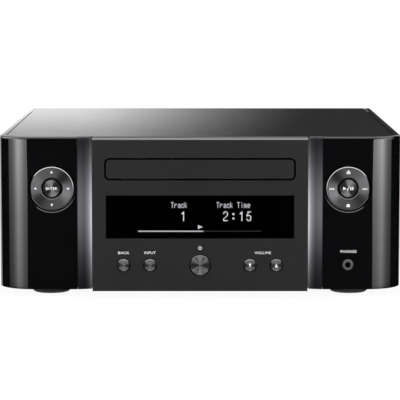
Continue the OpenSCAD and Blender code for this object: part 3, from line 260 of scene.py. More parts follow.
def even_glow(name, strength):
    """An evenly lit card"""
    material, tree = blank_material(name)
    light = add(tree, "ShaderNodeEmission", {"Color": white, "Strength": strength})
    add(tree, "ShaderNodeOutputMaterial", {"Surface": light})
    return material


arch_r = 1.4
arch_front = -0.75
arch_back = 0.1
arch_deeper = 0.9
overhead_box = even_glow("overhead_box", 3.6)


def overhead_part(name, start, end, *unlit):
    """Part of the arch overhead between two leans in degrees, which some pieces don't see"""
    arch = []
    steps = 12
    for i in range(steps + 1):
        lean = math.radians(start + (end - start) * i / steps)
        back = arch_back + arch_deeper * max(-math.sin(lean), 0.0) ** 2
        arch += [(arch_r * math.sin(lean), y, arch_r * math.cos(lean)) for y in (arch_front, back)]
    faces = [(2 * i, 2 * i + 1, 2 * i + 3, 2 * i + 2) for i in range(steps)]
    card = stage_mesh(name, arch, faces, overhead_box)
    flagged(reflected_only(card), "EXCLUDE", *unlit)


overhead_part("overhead_left", -78, -60, *keys, *pad_keys)
overhead_part("overhead_middle", -60, 54, *pad_keys)
overhead_part("overhead_right", 54, 78, *keys, *pad_keys)

wedge_y = -1.15
wedge_in = 0.3
wedge_out = 1.7


def wedge_card(name, start, end, strength, *pieces):
    """A card round the camera between two leans in degrees from upright, for spun faces"""
    sides = ((start, wedge_in), (start, wedge_out), (end, wedge_out), (end, wedge_in))
    corners = [(reach * math.sin(math.radians(lean)), wedge_y, reach * math.cos(math.radians(lean)))
               for lean, reach in sides]
    card = stage_mesh(name, corners, [(0, 1, 2, 3)], even_glow(name + "_box", strength))
    flagged(reflected_only(card), "INCLUDE", *pieces)


rings = [frame["nodes"][name] for name in ("nav_ring", "transport_ring")]
left_key, right_key = pad_keys
wedge_card("far_left_wedge", -76, -42, 4.6, *keys, left_key)
wedge_card("left_wedge", -42, -25, 6.0, left_key)
wedge_card("upper_left_wedge", -25, 0, 5.5, *keys, left_key)
wedge_card("upper_right_wedge", 0, 25, 5.5, *keys, right_key)
wedge_card("right_wedge", 25, 44, 6.0, right_key)
wedge_card("far_right_wedge", 44, 78, 4.6, *keys, right_key)
wedge_card("ring_wedge", 140, 220, 2.0, *rings)
fill_r = 2.3
fill_low = -0.3
fill_high = 1.2
fill_box = even_glow("spun_fill_box", 0.35)
spun_fill = curved_card("spun_fill", (0.0, 0.0), fill_r, -80, 80, fill_low, fill_high, fill_box)
flagged(spun_fill, "INCLUDE", *keys, *pad_keys, *rings)

backdrop_y = 3.0
backdrop_x = 1.1
backdrop_low = -0.3
backdrop_high = 0.62
backdrop_strength = 1.8
backdrop_least = 0.04


def backdrop_glow():
    """Backdrop seen in the top plate: bright on the left, dark on the right, dimmer upwards"""
    material, tree = blank_material("graded_backdrop")
    place = add(tree, "ShaderNodeTexCoord").outputs["Object"]
    part = add(tree, "ShaderNodeSeparateXYZ", {0: place}).outputs
    along = add(tree, "ShaderNodeMapRange", {"Value": part["X"], "From Min": -0.35, "From Max": 0.25})
    sideways = add(tree, "ShaderNodeValToRGB", {0: along},
                   ((0.0, 1.0), (0.15, 0.96), (0.26, 0.82), (0.36, 0.64), (0.47, 0.46), (0.58, 0.3),
                    (0.69, 0.18), (0.8, 0.1), (0.91, 0.05), (1.0, 0.03)))
    up = add(tree, "ShaderNodeMapRange", {"Value": part["Z"], "From Min": 0.15, "From Max": 0.37})
    upright = add(tree, "ShaderNodeValToRGB", {0: up},
                  ((0.0, 1.0), (0.62, 0.72), (0.82, 0.6), (0.96, 0.35), (1.0, 0.28)))
    shade = add(tree, "ShaderNodeMath", {0: sideways, 1: upright}, operation="MULTIPLY")
    shade = add(tree, "ShaderNodeMath", {0: shade, 1: backdrop_strength}, operation="MULTIPLY")
    level = add(tree, "ShaderNodeMath", {0: shade, 1: backdrop_least}, operation="MAXIMUM")
    light = add(tree, "ShaderNodeEmission", {"Color": white, "Strength": level})
    add(tree, "ShaderNodeOutputMaterial", {"Surface": light})
    return material


backdrop = [(-backdrop_x, backdrop_y, backdrop_low), (backdrop_x, backdrop_y, backdrop_low),
            (backdrop_x, backdrop_y, backdrop_high), (-backdrop_x, backdrop_y, backdrop_high)]
reflected_only(stage_mesh("backdrop", backdrop, [(0, 1, 2, 3)], backdrop_glow()))


def soft_lamp(name, place, aim, size, power):
    """A square soft box; its reflection is left to the cards"""
    data = bpy.data.lights.new(name, "AREA")
    data.shape = "SQUARE"
    data.size = size
    data.energy = power
    lamp = bpy.data.objects.new(name, data)
    lamp.location = place
    ahead = [a - p for a, p in zip(aim, place)]
    flat = math.hypot(ahead[0], ahead[1])
    lamp.rotation_euler = (math.atan2(flat, -ahead[2]), 0.0, math.atan2(-ahead[0], ahead[1]))
    lamp.visible_glossy = False
    scene.collection.objects.link(lamp)


soft_lamp("top_lamp", (-0.2, -0.5, 1.6), (0.0, 0.0, 0.05), 1.2, 14.0)
soft_lamp("left_lamp", (-1.3, -1.5, 0.9), (0.0, -0.1, 0.05), 0.8, 15.0)
soft_lamp("right_lamp", (1.3, -1.5, 0.9), (0.0, -0.1, 0.05), 0.8, 15.0)


# Base pan: bent zinc-plated sheet steel with stand-offs for the boards and vents under the loader.
# The rear panel and the sides are screwed to its flanges. The same sheet makes the clamp bridge,
# the traverse, the loader's posts and the gimbals of the pads.
def new_material(name, **inputs):
    """A material with one shader; inputs are named with _ for spaces"""
    material = bpy.data.materials.new(name)
    material.use_nodes = True
    tree = material.node_tree
    shader = tree.nodes["Principled BSDF"]
    for key, value in inputs.items():
        shader.inputs[key.replace("_", " ")].default_value = value
    return material, tree, shader


def grain(tree, size, detail=3.0, stretch=(1.0, 1.0, 1.0)):
    """A pattern of uneven grains of a size in millimetres, finer where it is stretched"""
    place = add(tree, "ShaderNodeTexCoord").outputs["Object"]
    scaled = add(tree, "ShaderNodeVectorMath", {0: place, 1: stretch}, operation="MULTIPLY")
    return add(tree, "ShaderNodeTexNoise",
               {"Vector": scaled, "Scale": 1 / (size * mm), "Detail": detail}).outputs["Fac"]


def vary(tree, shader, socket, value, low, high):
    """Let a shader's number follow a pattern from low to high"""
    level = add(tree, "ShaderNodeMapRange", {"Value": value, "From Min": 0.25, "From Max": 0.75,
                                             "To Min": low, "To Max": high})
    tree.links.new(level.outputs[0], shader.inputs[socket])


def tint(tree, shader, value, first, second):
    """Let a shader's colour follow a pattern between two colours, which are a Mix node's inputs 6 and 7"""
    share = add(tree, "ShaderNodeMapRange", {"Value": value, "From Min": 0.3, "From Max": 0.7})
    mix = add(tree, "ShaderNodeMix", {0: share, 6: linear(first), 7: linear(second)}, data_type="RGBA")
    tree.links.new(mix.outputs[2], shader.inputs["Base Color"])


def relief(tree, shader, value, depth):
    """Let a pattern stand proud by a depth in millimetres"""
    bump = add(tree, "ShaderNodeBump", {"Height": value, "Distance": depth * mm})
    tree.links.new(bump.outputs[0], shader.inputs["Normal"])


def dress(material, *names):
    """Give CAD nodes a material"""
    for name in names:
        mesh = frame["nodes"][name].data
        mesh.materials.clear()
        mesh.materials.append(material)


def zinc_steel():
    """Zinc on rolled steel: dull silver, with crystals a few millimetres wide that reflect unevenly"""
    material, tree, shader = new_material("zinc_plated_steel", Metallic=1.0)
    spangle = grain(tree, 7.0, 4.0)
    tint(tree, shader, spangle, "#8d9094", "#a9acb0")
    vary(tree, shader, "Roughness", spangle, 0.34, 0.48)
    relief(tree, shader, grain(tree, 0.8), 0.01)
    return material


steel_sheet = zinc_steel()
dress(steel_sheet, "base_pan", "clamp_bridge", "traverse_frame", "loader_posts", "nav_gimbal",
      "transport_gimbal")


# Feet: four round feet that hold the vents clear of the shelf, moulded in black plastic
# and screwed to the pan from below
def plain_moulding(name, dark_code, pale_code, rough):
    """Moulded plastic or rubber: an even colour and a soft shine, from a fine eroded mould face"""
    material, tree, shader = new_material(name)
    tint(tree, shader, grain(tree, 12.0), dark_code, pale_code)
    vary(tree, shader, "Roughness", grain(tree, 5.0), rough - 0.06, rough + 0.06)
    relief(tree, shader, grain(tree, 0.4), 0.012)
    return material


# The feet are black, but their colour is a mid grey: a painted reflection lighter than the plastic itself
dress(plain_moulding("foot_moulding_painted_reflection", "#545455", "#5b5b5d", 0.5), "feet")


# Rear panel: the plate that carries the sockets, pressed from sheet steel, coated with fine
# black powder and screwed on behind
def powder_coat():
    """Baked powder: nearly matt, with a pebbled skin, drawn coarse enough to show, that breaks up light"""
    material, tree, shader = new_material("black_powder_coat")
    tint(tree, shader, grain(tree, 1.2), "#1b1b1d", "#232326")
    vary(tree, shader, "Roughness", grain(tree, 2.0), 0.5, 0.62)
    relief(tree, shader, grain(tree, 0.5, 2.0), 0.03)
    return material


dress(powder_coat(), "rear_panel")


# Sides, wings and top plate: the outer shell, moulded in black plastic and polished to a deep gloss.
# The wings close the front corners, and the top plate lies in the rim of the sides.
def gloss_black(name, rough, lacquer=0.0):
    """Polished moulding: a black mirror of the room, with the faint waviness of a moulded face"""
    material, tree, shader = new_material(name, Coat_Weight=lacquer, Coat_Roughness=rough)
    tint(tree, shader, grain(tree, 60.0), "#09090a", "#0c0c0e")
    vary(tree, shader, "Roughness", grain(tree, 25.0), rough, rough + 0.03)
    relief(tree, shader, grain(tree, 9.0, 1.0), 0.004)
    return material


dress(gloss_black("polished_black_moulding", 0.05), "wing_left", "wing_right")
dress(gloss_black("lacquered_side_moulding", 0.05, 0.6), "side_panel_left", "side_panel_right")
dress(gloss_black("polished_top_plate", 0.05), "top_plate")


# Boards: the key, supply and main boards, of glass fibre with copper tracks under green lacquer.
# They are screwed to the front frame and to the stand-offs of the pan.
def circuit_board():
    """Lacquered glass fibre: green with a soft shine, the tracks standing a little proud"""
    material, tree, shader = new_material("glass_fibre_board", Roughness=0.42)
    track_pitch = 5.0
    place = add(tree, "ShaderNodeTexCoord").outputs["Object"]
    tracks = add(tree, "ShaderNodeTexVoronoi", {"Vector": place, "Scale": 1 / (track_pitch * mm)},
                 distance="MANHATTAN").outputs["Distance"]
    tint(tree, shader, tracks, "#2d6b40", "#1d4f2f")
    relief(tree, shader, tracks, 0.03)
    return material


dress(circuit_board(), "key_boards", "supply_board", "main_board")


# Supply and amplifier: a wound and taped transformer on the supply board, and a heat sink cut from
# an aluminium extrusion, which cools the amplifier on the main board
def winding_tape():
    """Polyester tape round a winding: yellow and shiny, with the edges of its turns"""
    material, tree, shader = new_material("transformer_tape", Roughness=0.4)
    tint(tree, shader, grain(tree, 3.0, 3.0, (1.0, 6.0, 1.0)), "#b98f2c", "#d3ab49")
    relief(tree, shader, grain(tree, 2.0, 2.0, (0.2, 8.0, 1.0)), 0.05)
    return material


def extruded_aluminium():
    """Bare extruded aluminium: pale grey, with the lines of the die along it"""
    material, tree, shader = new_material("extruded_aluminium", Metallic=1.0)
    drawn = grain(tree, 1.5, 3.0, (1.0, 0.03, 1.0))
    tint(tree, shader, drawn, "#8b8c8f", "#a2a3a6")
    vary(tree, shader, "Roughness", drawn, 0.35, 0.5)
    return material


dress(winding_tape(), "transformer")
dress(extruded_aluminium(), "heat_sink")


# Loader: a black moulded chassis and tray, acetal gears, a rubber belt and small steel motors,
# with the pickup on two ground rods. The chassis stands on four posts above the boards.
def acetal():
    """Moulded acetal: off-white and waxy, as light goes a little way in"""
    material, tree, shader = new_material("natural_acetal", Roughness=0.38, Subsurface_Weight=0.1,
                                          Subsurface_Radius=(0.002, 0.002, 0.0018))
    tint(tree, shader, grain(tree, 8.0), "#dcd7c8", "#e9e5d9")
    return material


def motor_can():
    """Plating on a drawn steel can: bright, with faint marks along the draw"""
    material, tree, shader = new_material("plated_motor_can", Metallic=1.0)
    tint(tree, shader, grain(tree, 1.0, 2.0, (1.0, 1.0, 0.05)), "#9fa1a4", "#b4b6b9")
    vary(tree, shader, "Roughness", grain(tree, 6.0), 0.26, 0.36)
    return material


def machined(name, dark_code, pale_code, rough):
    """Turned, ground or plated metal: bright, with fine tool marks that blur what it mirrors"""
    material, tree, shader = new_material(name, Metallic=1.0)
    turned = grain(tree, 0.6, 2.0)
    tint(tree, shader, turned, dark_code, pale_code)
    vary(tree, shader, "Roughness", turned, rough, rough + 0.1)
    return material


def lens_glass():
    """A coated lens: a clean reflection with a dark blue cast"""
    material, tree, shader = new_material("coated_lens", Roughness=0.03, Coat_Weight=1.0,
                                          Coat_Roughness=0.02)
    tint(tree, shader, grain(tree, 4.0), "#27406b", "#3a5f8f")
    return material


loader_moulding = plain_moulding("loader_moulding", "#1d1d20", "#232327", 0.5)
dress(loader_moulding, "loader_chassis", "front_frame", "disc_clamp", "spindle_hub", "pickup_sled")
dress(plain_moulding("tray_moulding", "#18181a", "#1d1d20", 0.46), "disc_tray")
dress(acetal(), "drive_gear", "pulley_gear", "sled_pinion")
dress(motor_can(), "loading_motor", "spindle_motor", "sled_motor")
dress(machined("turned_brass", "#b8923f", "#d0aa52", 0.22), "motor_pulley", "terminal_studs")
dress(machined("ground_steel_rod", "#b9bbbe", "#cfd1d4", 0.12), "guide_rods")
dress(plain_moulding("belt_rubber", "#121213", "#18181a", 0.7), "drive_belt")
dress(lens_glass(), "objective_lens")


# Centre panel and tray door: moulded and painted in one batch, satin dark grey with a fine grain.
# The panel is fixed to the front frame, and the door to the front of the tray.
def satin_paint():
    """Satin paint: an even dark grey, nearly matt, with a grain that is drawn coarse enough to show"""
    material, tree, shader = new_material("satin_dark_paint", Specular_IOR_Level=0.15)
    tint(tree, shader, grain(tree, 30.0), "#242425", "#262627")
    vary(tree, shader, "Roughness", grain(tree, 1.5), 0.42, 0.5)
    relief(tree, shader, grain(tree, 0.35, 2.0), 0.01)
    return material


def bevel_lacquer():
    """The panel's bevel in a smoother lacquer that catches the light from above; its paler colour is a
    painted highlight along it
    """
    material, tree, shader = new_material("bevel_lacquer_painted_highlight", Coat_Weight=0.6, Coat_Roughness=0.12)
    tint(tree, shader, grain(tree, 30.0), "#2e2e2f", "#323233")
    vary(tree, shader, "Roughness", grain(tree, 4.0), 0.14, 0.2)
    return material


dress(satin_paint(), "centre_panel", "tray_door")
panel = frame["nodes"]["centre_panel"].data
panel.materials.append(bevel_lacquer())
# The top bevel's faces take that lacquer; their paler colour is a painted highlight, and the gloss is real
bevel_h = 2 * mm
bevel_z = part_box("centre_panel")[1][2] - bevel_h
for face in panel.polygons:
    if face.normal.z > 0.5 and face.normal.y < -0.5 and face.center.z > bevel_z:
        face.material_index = 1


# Light guides: frosted smoked strips that carry a soft glow from the edge of the centre panel
# to the creases of the wings, brightest half way up
def frosted_guide():
    """Frosted acrylic, lit from behind: dark, with a glow that is strongest along its inner edge"""
    material, tree, shader = new_material("frosted_light_guide", Roughness=0.3, Specular_IOR_Level=0.2)
    guide_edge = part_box("light_guides")[1][0]
    panel_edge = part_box("centre_panel")[1][0]
    place = add(tree, "ShaderNodeTexCoord").outputs["Object"]
    part = add(tree, "ShaderNodeSeparateXYZ", {0: place}).outputs
    aside = add(tree, "ShaderNodeMath", {0: part["X"]}, operation="ABSOLUTE")
    out = add(tree, "ShaderNodeMapRange", {"Value": aside, "From Min": panel_edge, "From Max": guide_edge})
    body = add(tree, "ShaderNodeValToRGB", {0: out},
               ((0.0, 0.1), (0.4, 0.14), (0.6, 0.12), (0.8, 0.15), (0.95, 0.15), (1.0, 0.1)))
    edge = add(tree, "ShaderNodeValToRGB", {0: out},
               ((0.0, 1.0), (0.06, 0.86), (0.13, 0.53), (0.24, 0.23), (0.4, 0.05), (0.55, 0.0)))
    glows = []
    for level, height, spread in ((body, 62, 30), (edge, 55, 34)):
        off = add(tree, "ShaderNodeMath", {0: part["Z"], 1: height * mm}, operation="SUBTRACT")
        off = add(tree, "ShaderNodeMath", {0: off, 1: spread * mm}, operation="DIVIDE")
        fall = add(tree, "ShaderNodeMath", {0: off, 1: 2.0}, operation="POWER")
        fall = add(tree, "ShaderNodeMath", {0: fall, 1: -1.0}, operation="MULTIPLY")
        bell = add(tree, "ShaderNodeMath", {0: fall}, operation="EXPONENT")
        glows.append(add(tree, "ShaderNodeMath", {0: level, 1: bell}, operation="MULTIPLY"))
    glow = add(tree, "ShaderNodeMath", {0: glows[0], 1: glows[1]}, operation="ADD")
    shader.inputs["Emission Color"].default_value = linear("#f4f2fa")
    tree.links.new(glow.outputs[0], shader.inputs["Emission Strength"])
    tint(tree, shader, grain(tree, 8.0), "#131317", "#18181c")
    relief(tree, shader, grain(tree, 0.3, 2.0), 0.01)
    return material


dress(frosted_guide(), "light_guides")


# Display: a dark display glass with lit marks behind a smoked clear window, whose edge is masked
# with black ink. Figures and words are rows of small dots, as such a display draws them.
def display_glass():
    """Display glass: black when unlit, with a dull shine"""
    material, tree, shader = new_material("display_glass", Roughness=0.12)
    tint(tree, shader, grain(tree, 20.0), "#050506", "#08080a")
    return material


def smoked_window():
    """Smoked acrylic: clear and grey, so that it dims what lies behind it"""
    material, tree, shader = new_material("smoked_window", Roughness=0.02, Transmission_Weight=1.0,
                                          IOR=1.49)
    tint(tree, shader, grain(tree, 50.0), "#b9bac0", "#bcbdc4")
    return material


def glowing(name, code, strength):
    """Lit phosphor: white light, a little uneven from dot to dot"""
    material, tree, shader = new_material(name, Roughness=0.4)
    shader.inputs["Base Color"].default_value = linear("#101014")
    shader.inputs["Emission Color"].default_value = linear(code)
    flicker = add(tree, "ShaderNodeMapRange", {"Value": grain(tree, 2.0), "From Min": 0.2, "From Max": 0.8,
                                               "To Min": strength * 0.94, "To Max": strength * 1.06})
    tree.links.new(flicker.outputs[0], shader.inputs["Emission Strength"])
    return material


def black_ink():
    """Black ink: flat and very dark"""
    material, tree, shader = new_material("black_ink", Specular_IOR_Level=0.1)
    tint(tree, shader, grain(tree, 3.0), "#040404", "#060606")
    vary(tree, shader, "Roughness", grain(tree, 1.0), 0.5, 0.6)
    return material


def fitted(name, mesh, body):
    """Link a piece and let it ride its body"""
    piece = bpy.data.objects.new(name, mesh)
    scene.collection.objects.link(piece)
    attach(piece, body)
    return piece


def oblong(left, low, right, high):
    """Outline of an upright rectangle"""
    return [(left, low), (right, low), (right, high), (left, high)]


def flat_marks(name, outlines, face, material, body, ink=0.03):
    """Thin marks on a face that looks to the front; face gives y in millimetres at x and z"""
    vertices, faces = [], []
    for outline in outlines:
        turn = sum(a[0] * b[1] - b[0] * a[1] for a, b in zip(outline, outline[1:] + outline[:1]))
        ring = outline if turn > 0 else outline[::-1]
        first = len(vertices)
        count = len(ring)
        vertices += [(x * mm, (face(x, z) - ink) * mm, z * mm) for x, z in ring]
        vertices += [(x * mm, face(x, z) * mm, z * mm) for x, z in ring]
        faces.append(tuple(range(first, first + count)))
        faces.append(tuple(range(first + 2 * count - 1, first + count - 1, -1)))
        for i in range(count):
            j = (i + 1) % count
            faces.append((first + i, first + count + i, first + count + j, first + j))
    mesh = bpy.data.meshes.new(name)
    mesh.from_pydata(vertices, [], faces)
    mesh.materials.append(material)
    return fitted(name, mesh, body)


dress(display_glass(), "display_module")
dress(smoked_window(), "display_window")
lit_phosphor = glowing("lit_phosphor", "#f2f2f2", 2.0)
soft_phosphor = glowing("soft_phosphor", "#f0f0f0", 1.4)
steady_phosphor = glowing("steady_phosphor", "#f0f0f0", 1.1)
dim_phosphor = glowing("dim_phosphor", "#e8e8e8", 0.05)
window_low, window_high = [[v / mm for v in corner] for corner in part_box("display_window")]
glass_low, glass_high = [[v / mm for v in corner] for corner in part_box("display_module")]
glass_y = glass_low[1]

# Rows of dots from the top down: tall figures have eleven rows, and letters have seven
figures = {
    "1": ("..#", ".##", "###", "..#", "..#", "..#", "..#", "..#", "..#", "..#", "..#"),
    "2": (".###.", "#...#", "#...#", "....#", "....#", "...#.", "..#..", ".#...", "#....", "#....",
          "#####"),
    "5": (".####", ".#...", ".#...", "#....", "####.", "#...#", "....#", "....#", "#...#", "#...#",
          ".###."),
    ":": ("..", "..", "##", "##", "..", "..", "..", "##", "##", "..", ".."),
    "T": ("#####", "..#..", "..#..", "..#..", "..#..", "..#..", "..#.."),
    "r": (".....", ".....", "#.##.", "##..#", "#....", "#....", "#...."),
    "a": (".....", ".....", ".###.", "....#", ".####", "#...#", ".####"),
    "c": (".....", ".....", ".###.", "#...#", "#....", "#...#", ".###."),
    "k": ("#....", "#....", "#..#.", "#.#..", "##...", "#.#..", "#..#."),
    "i": ("..#..", ".....", "..#..", "..#..", "..#..", "..#..", "..#.."),
    "m": (".....", ".....", "##.#.", "#.#.#", "#.#.#", "#.#.#", "#.#.#"),
    "e": (".....", ".....", ".###.", "#...#", "#####", "#....", ".###."),
    " ": (".....", ".....", ".....", ".....", ".....", ".....", "....."),
}
dot_depth = 0.06


def lit_dots(text, left, top, across, down):
    """Centres of the lit dots of a row of figures, from the first one, in metres"""
    dots = []
    for letter in text:
        rows = figures[letter]
        dots += [((left + c * across) * mm, (glass_y - dot_depth / 2) * mm, (top - r * down) * mm)
                 for r, row in enumerate(rows) for c, cell in enumerate(row) if cell == "#"]
        left += (len(rows[0]) + 1) * across
    return dots


def points_tree(name, *numbers):
    """A tree that works on points and has named numbers"""
    tree = bpy.data.node_groups.new(name, "GeometryNodeTree")
    tree.interface.new_socket("Geometry", in_out="INPUT", socket_type="NodeSocketGeometry")
    for number in numbers:
        tree.interface.new_socket(number, in_out="INPUT", socket_type="NodeSocketFloat")
    tree.interface.new_socket("Geometry", in_out="OUTPUT", socket_type="NodeSocketGeometry")
    return tree, add(tree, "NodeGroupInput").outputs


def on_points(tree, given, piece, material):
    """End a tree: the piece on each point, made real, in its material"""
    pieces = add(tree, "GeometryNodeInstanceOnPoints", {"Points": given["Geometry"], "Instance": piece})
    real = add(tree, "GeometryNodeRealizeInstances", {0: pieces})
    dressed = add(tree, "GeometryNodeSetMaterial", {"Geometry": real, "Material": material})
    add(tree, "NodeGroupOutput", {"Geometry": dressed})
    return tree


def dots_tree(material):
    """Geometry nodes: a small block on each point"""
    tree, given = points_tree("small_blocks", "Dot width", "Dot depth", "Dot height")
    size = add(tree, "ShaderNodeCombineXYZ", {"X": given["Dot width"], "Y": given["Dot depth"],
                                              "Z": given["Dot height"]})
    return on_points(tree, given, add(tree, "GeometryNodeMeshCube", {"Size": size}), material)


def grown(name, points, tree, values, body):
    """Run a tree on loose points and keep the result as a plain mesh that rides a body"""
    seed = bpy.data.meshes.new(name + "_seed")
    seed.from_pydata(points, [], [])
    source = bpy.data.objects.new(name + "_seed", seed)
    scene.collection.objects.link(source)
    grower = source.modifiers.new("grow", "NODES")
    grower.node_group = tree
    for item in tree.interface.items_tree:
        if item.in_out == "INPUT" and item.name in values:
            grower[item.identifier] = values[item.name]
    ready = source.evaluated_get(bpy.context.evaluated_depsgraph_get())
    mesh = bpy.data.meshes.new_from_object(ready)
    mesh.name = name
    source.modifiers.remove(grower)
    bpy.data.objects.remove(source)
    return fitted(name, mesh, body)


across = 0.63
down = 0.6
top = 59.5
dot_width = 0.56
dots = lit_dots("1", -12.5, top, across, down)
for figure, left in (("2", 16.3), (":", 22.6), ("1", 27.5), ("5", 32.3)):
    dots += lit_dots(figure, left, top, across, down)
grown("display_figures", dots, dots_tree(lit_phosphor),
      {"Dot width": dot_width * mm, "Dot depth": dot_depth * mm, "Dot height": down * mm}, "cabinet")
across = 0.3925
down = 0.57
top = 66.0
dots = lit_dots("Track", -19.8, top, across, down) + lit_dots("Track Time", 11.5, top, across, down)
grown("display_words", dots, dots_tree(soft_phosphor),
      {"Dot width": across * mm, "Dot depth": dot_depth * mm, "Dot height": down * mm}, "cabinet")

play_icon = [(-1.4, 47.6), (1.9, 49.1), (-1.4, 50.6)]
elapsed = oblong(-42.5, 45.7, 2.3, 46.6)
remaining = oblong(2.7, 45.8, 42.4, 46.5)
flat_marks("display_icons", [play_icon], lambda x, z: glass_y, soft_phosphor, "cabinet")
flat_marks("display_elapsed", [elapsed], lambda x, z: glass_y, steady_phosphor, "cabinet")
flat_marks("display_remaining", [remaining], lambda x, z: glass_y, dim_phosphor, "cabinet")

lap = 0.5
mask_gap = 0.04
left, right = glass_low[0] + lap, glass_high[0] - lap
under, over = glass_low[2] + lap, glass_high[2] - lap
mask = [oblong(window_low[0], window_low[2], left, window_high[2]),
        oblong(right, window_low[2], window_high[0], window_high[2]),
        oblong(left, window_low[2], right, under),
        oblong(left, over, right, window_high[2])]
flat_marks("window_mask", mask, lambda x, z: window_high[1] + mask_gap, black_ink(), "cabinet")


# Keys and pads: solid aluminium, spun so that fine grooves run round the middle, then dark anodised.
# The edges are cut bright afterwards. Each key slides in its hole over a switch, and each pad tilts
# on its gimbal.
def from_axis(tree, x, z):
    """Offset from an axis that runs from front to back, and its length"""
    place = add(tree, "ShaderNodeTexCoord").outputs["Object"]
    offset = add(tree, "ShaderNodeVectorMath", {0: place, 1: (x, 0.0, z)}, operation="SUBTRACT")
    flat = add(tree, "ShaderNodeVectorMath", {0: offset, 1: (1.0, 0.0, 1.0)}, operation="MULTIPLY")
    return flat, add(tree, "ShaderNodeVectorMath", {0: flat}, operation="LENGTH").outputs["Value"]


groove = 0.22
edge_blend = 0.05


def spun_metal(name, node, flat_from, flat_to, cut_code="#4d4d4f"):
    """Grooved on the flat face between two radii in millimetres, and diamond-cut on the edges"""
    # Light draws out across the grooves into bright sectors. Real grooves are finer: these are drawn
    # coarse enough to show.
    low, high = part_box(node)
    material, tree, shader = new_material(name, Metallic=1.0, Anisotropic=1.0)
    flat, radius = from_axis(tree, (low[0] + high[0]) / 2, (low[2] + high[2]) / 2)
    outward = add(tree, "ShaderNodeVectorMath", {0: flat}, operation="NORMALIZE")
    tree.links.new(outward.outputs[0], shader.inputs["Tangent"])
    count = add(tree, "ShaderNodeMath", {0: radius, 1: groove * mm}, operation="DIVIDE")
    grooves = add(tree, "ShaderNodeTexNoise", {"W": count, "Scale": 1.0, "Detail": 3.0},
                  noise_dimensions="1D").outputs["Fac"]
    relief(tree, shader, grooves, 0.006)
    middle = (flat_from + flat_to) / 2 * mm
    half = (flat_to - flat_from) / 2 * mm
    past = half + edge_blend * mm
    off = add(tree, "ShaderNodeMath", {0: radius, 1: middle}, operation="SUBTRACT")
    off = add(tree, "ShaderNodeMath", {0: off}, operation="ABSOLUTE")
    rough = add(tree, "ShaderNodeMapRange", {"Value": off, "From Min": half, "From Max": past,
                                             "To Min": 0.36, "To Max": 0.14})
    share = add(tree, "ShaderNodeMapRange", {"Value": grooves, "From Min": 0.3, "From Max": 0.7})
    anodised = add(tree, "ShaderNodeMix", {0: share, 6: linear("#626264"), 7: linear("#777779")},
                   data_type="RGBA")
    edge = add(tree, "ShaderNodeMapRange", {"Value": off, "From Min": half, "From Max": past})
    cut = add(tree, "ShaderNodeMix", {0: edge, 6: anodised.outputs[2], 7: linear(cut_code)},
              data_type="RGBA")
    tree.links.new(cut.outputs[2], shader.inputs["Base Color"])
    tree.links.new(rough.outputs[0], shader.inputs["Roughness"])
    return material


def lathe(name, profile, x, z, material, body, steps=96):
    """A closed ring about an axis from front to back; the profile gives radius and y in millimetres"""
    vertices, faces = [], []
    count = len(profile)
    for i in range(steps):
        turn = 2 * math.pi * i / steps
        right, up = math.cos(turn), math.sin(turn)
        vertices += [((x + r * right) * mm, y * mm, (z + r * up) * mm) for r, y in profile]
        for j in range(count):
            k = (j + 1) % count
            after = (i + 1) % steps
            faces.append((i * count + j, i * count + k, after * count + k, after * count + j))
    mesh = bpy.data.meshes.new(name)
    mesh.from_pydata(vertices, [], faces)
    mesh.materials.append(material)
    return fitted(name, mesh, body)


small_flat = 3.8
power_flat = 6.6
middle_flat = 6.15
ring_flat = 14.2
ring_hole = 7.65
for node in ("back_key", "input_key", "volume_down_key", "volume_up_key"):
    dress(spun_metal("spun_aluminium_" + node, node, -4.3, small_flat, "#606062"), node)
dress(spun_metal("spun_aluminium_power_key", "power_key", -7.1, power_flat), "power_key")
for node in ("enter_key", "play_key"):
    dress(spun_metal("spun_aluminium_" + node, node, -middle_flat, middle_flat), node)
rim_metal = machined("diamond_cut_aluminium", "#b4b4b6", "#c2c2c4", 0.1)
lip_metal = machined("cut_aluminium", "#7e7e80", "#8a8a8c", 0.12)
rims, lips = [], []
for node in ("nav_ring", "transport_ring"):
    dress(spun_metal("spun_aluminium_" + node, node, ring_hole, ring_flat), node)
    low, high = [[v / mm for v in corner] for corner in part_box(node)]
    pad_r = (high[2] - low[2]) / 2
    x, y, z = (low[0] + high[0]) / 2, low[1], (low[2] + high[2]) / 2
    rim = [(pad_r - 1.1, y), (pad_r, y + 0.55), (pad_r, y + 0.8), (pad_r - 0.8, y + 0.05)]
    lip = [(7.25, y + 0.9), (7.25, y + 0.78), (7.8, y + 0.485), (ring_hole, y + 0.55)]
    rims.append(lathe(node + "_rim", rim, x, z, rim_metal, node))
    lips.append(lathe(node + "_lip", lip, x, z, lip_metal, node))


def halo_card(name, levels, *pieces):
    """A ring of light round the camera for cut edges; a level is an angle from the right and a strength"""
    vertices, strengths = [], []
    far = 1.5
    middle_y = -0.14
    middle_z = 0.075
    tip = 0.11
    steps = 72
    for i in range(steps + 1):
        degrees = 360 * i / steps - 90
        turn = math.radians(degrees)
        before = [level for level in levels if level[0] <= degrees][-1]
        after = [level for level in levels if level[0] >= degrees][0]
        span = max(after[0] - before[0], 1)
        strengths.append(before[1] + (after[1] - before[1]) * (degrees - before[0]) / span)
        for spread in (34, 68):
            out, ahead = far * math.sin(math.radians(spread)), far * math.cos(math.radians(spread))
            height = middle_z - tip * ahead + out * math.sin(turn)
            vertices.append((out * math.cos(turn), middle_y - ahead, height))
    material, tree = blank_material(name + "_box")
    level = add(tree, "ShaderNodeAttribute", attribute_name="level").outputs["Fac"]
    light = add(tree, "ShaderNodeEmission", {"Color": white, "Strength": level})
    add(tree, "ShaderNodeOutputMaterial", {"Surface": light})
    faces = [(2 * i, 2 * i + 2, 2 * i + 3, 2 * i + 1) for i in range(steps)]
    card = stage_mesh(name, vertices, faces, material)
    store = card.data.attributes.new("level", "FLOAT", "POINT")
    for i, item in enumerate(store.data):
        item.value = strengths[i // 2]
    flagged(reflected_only(card), "INCLUDE", *pieces)


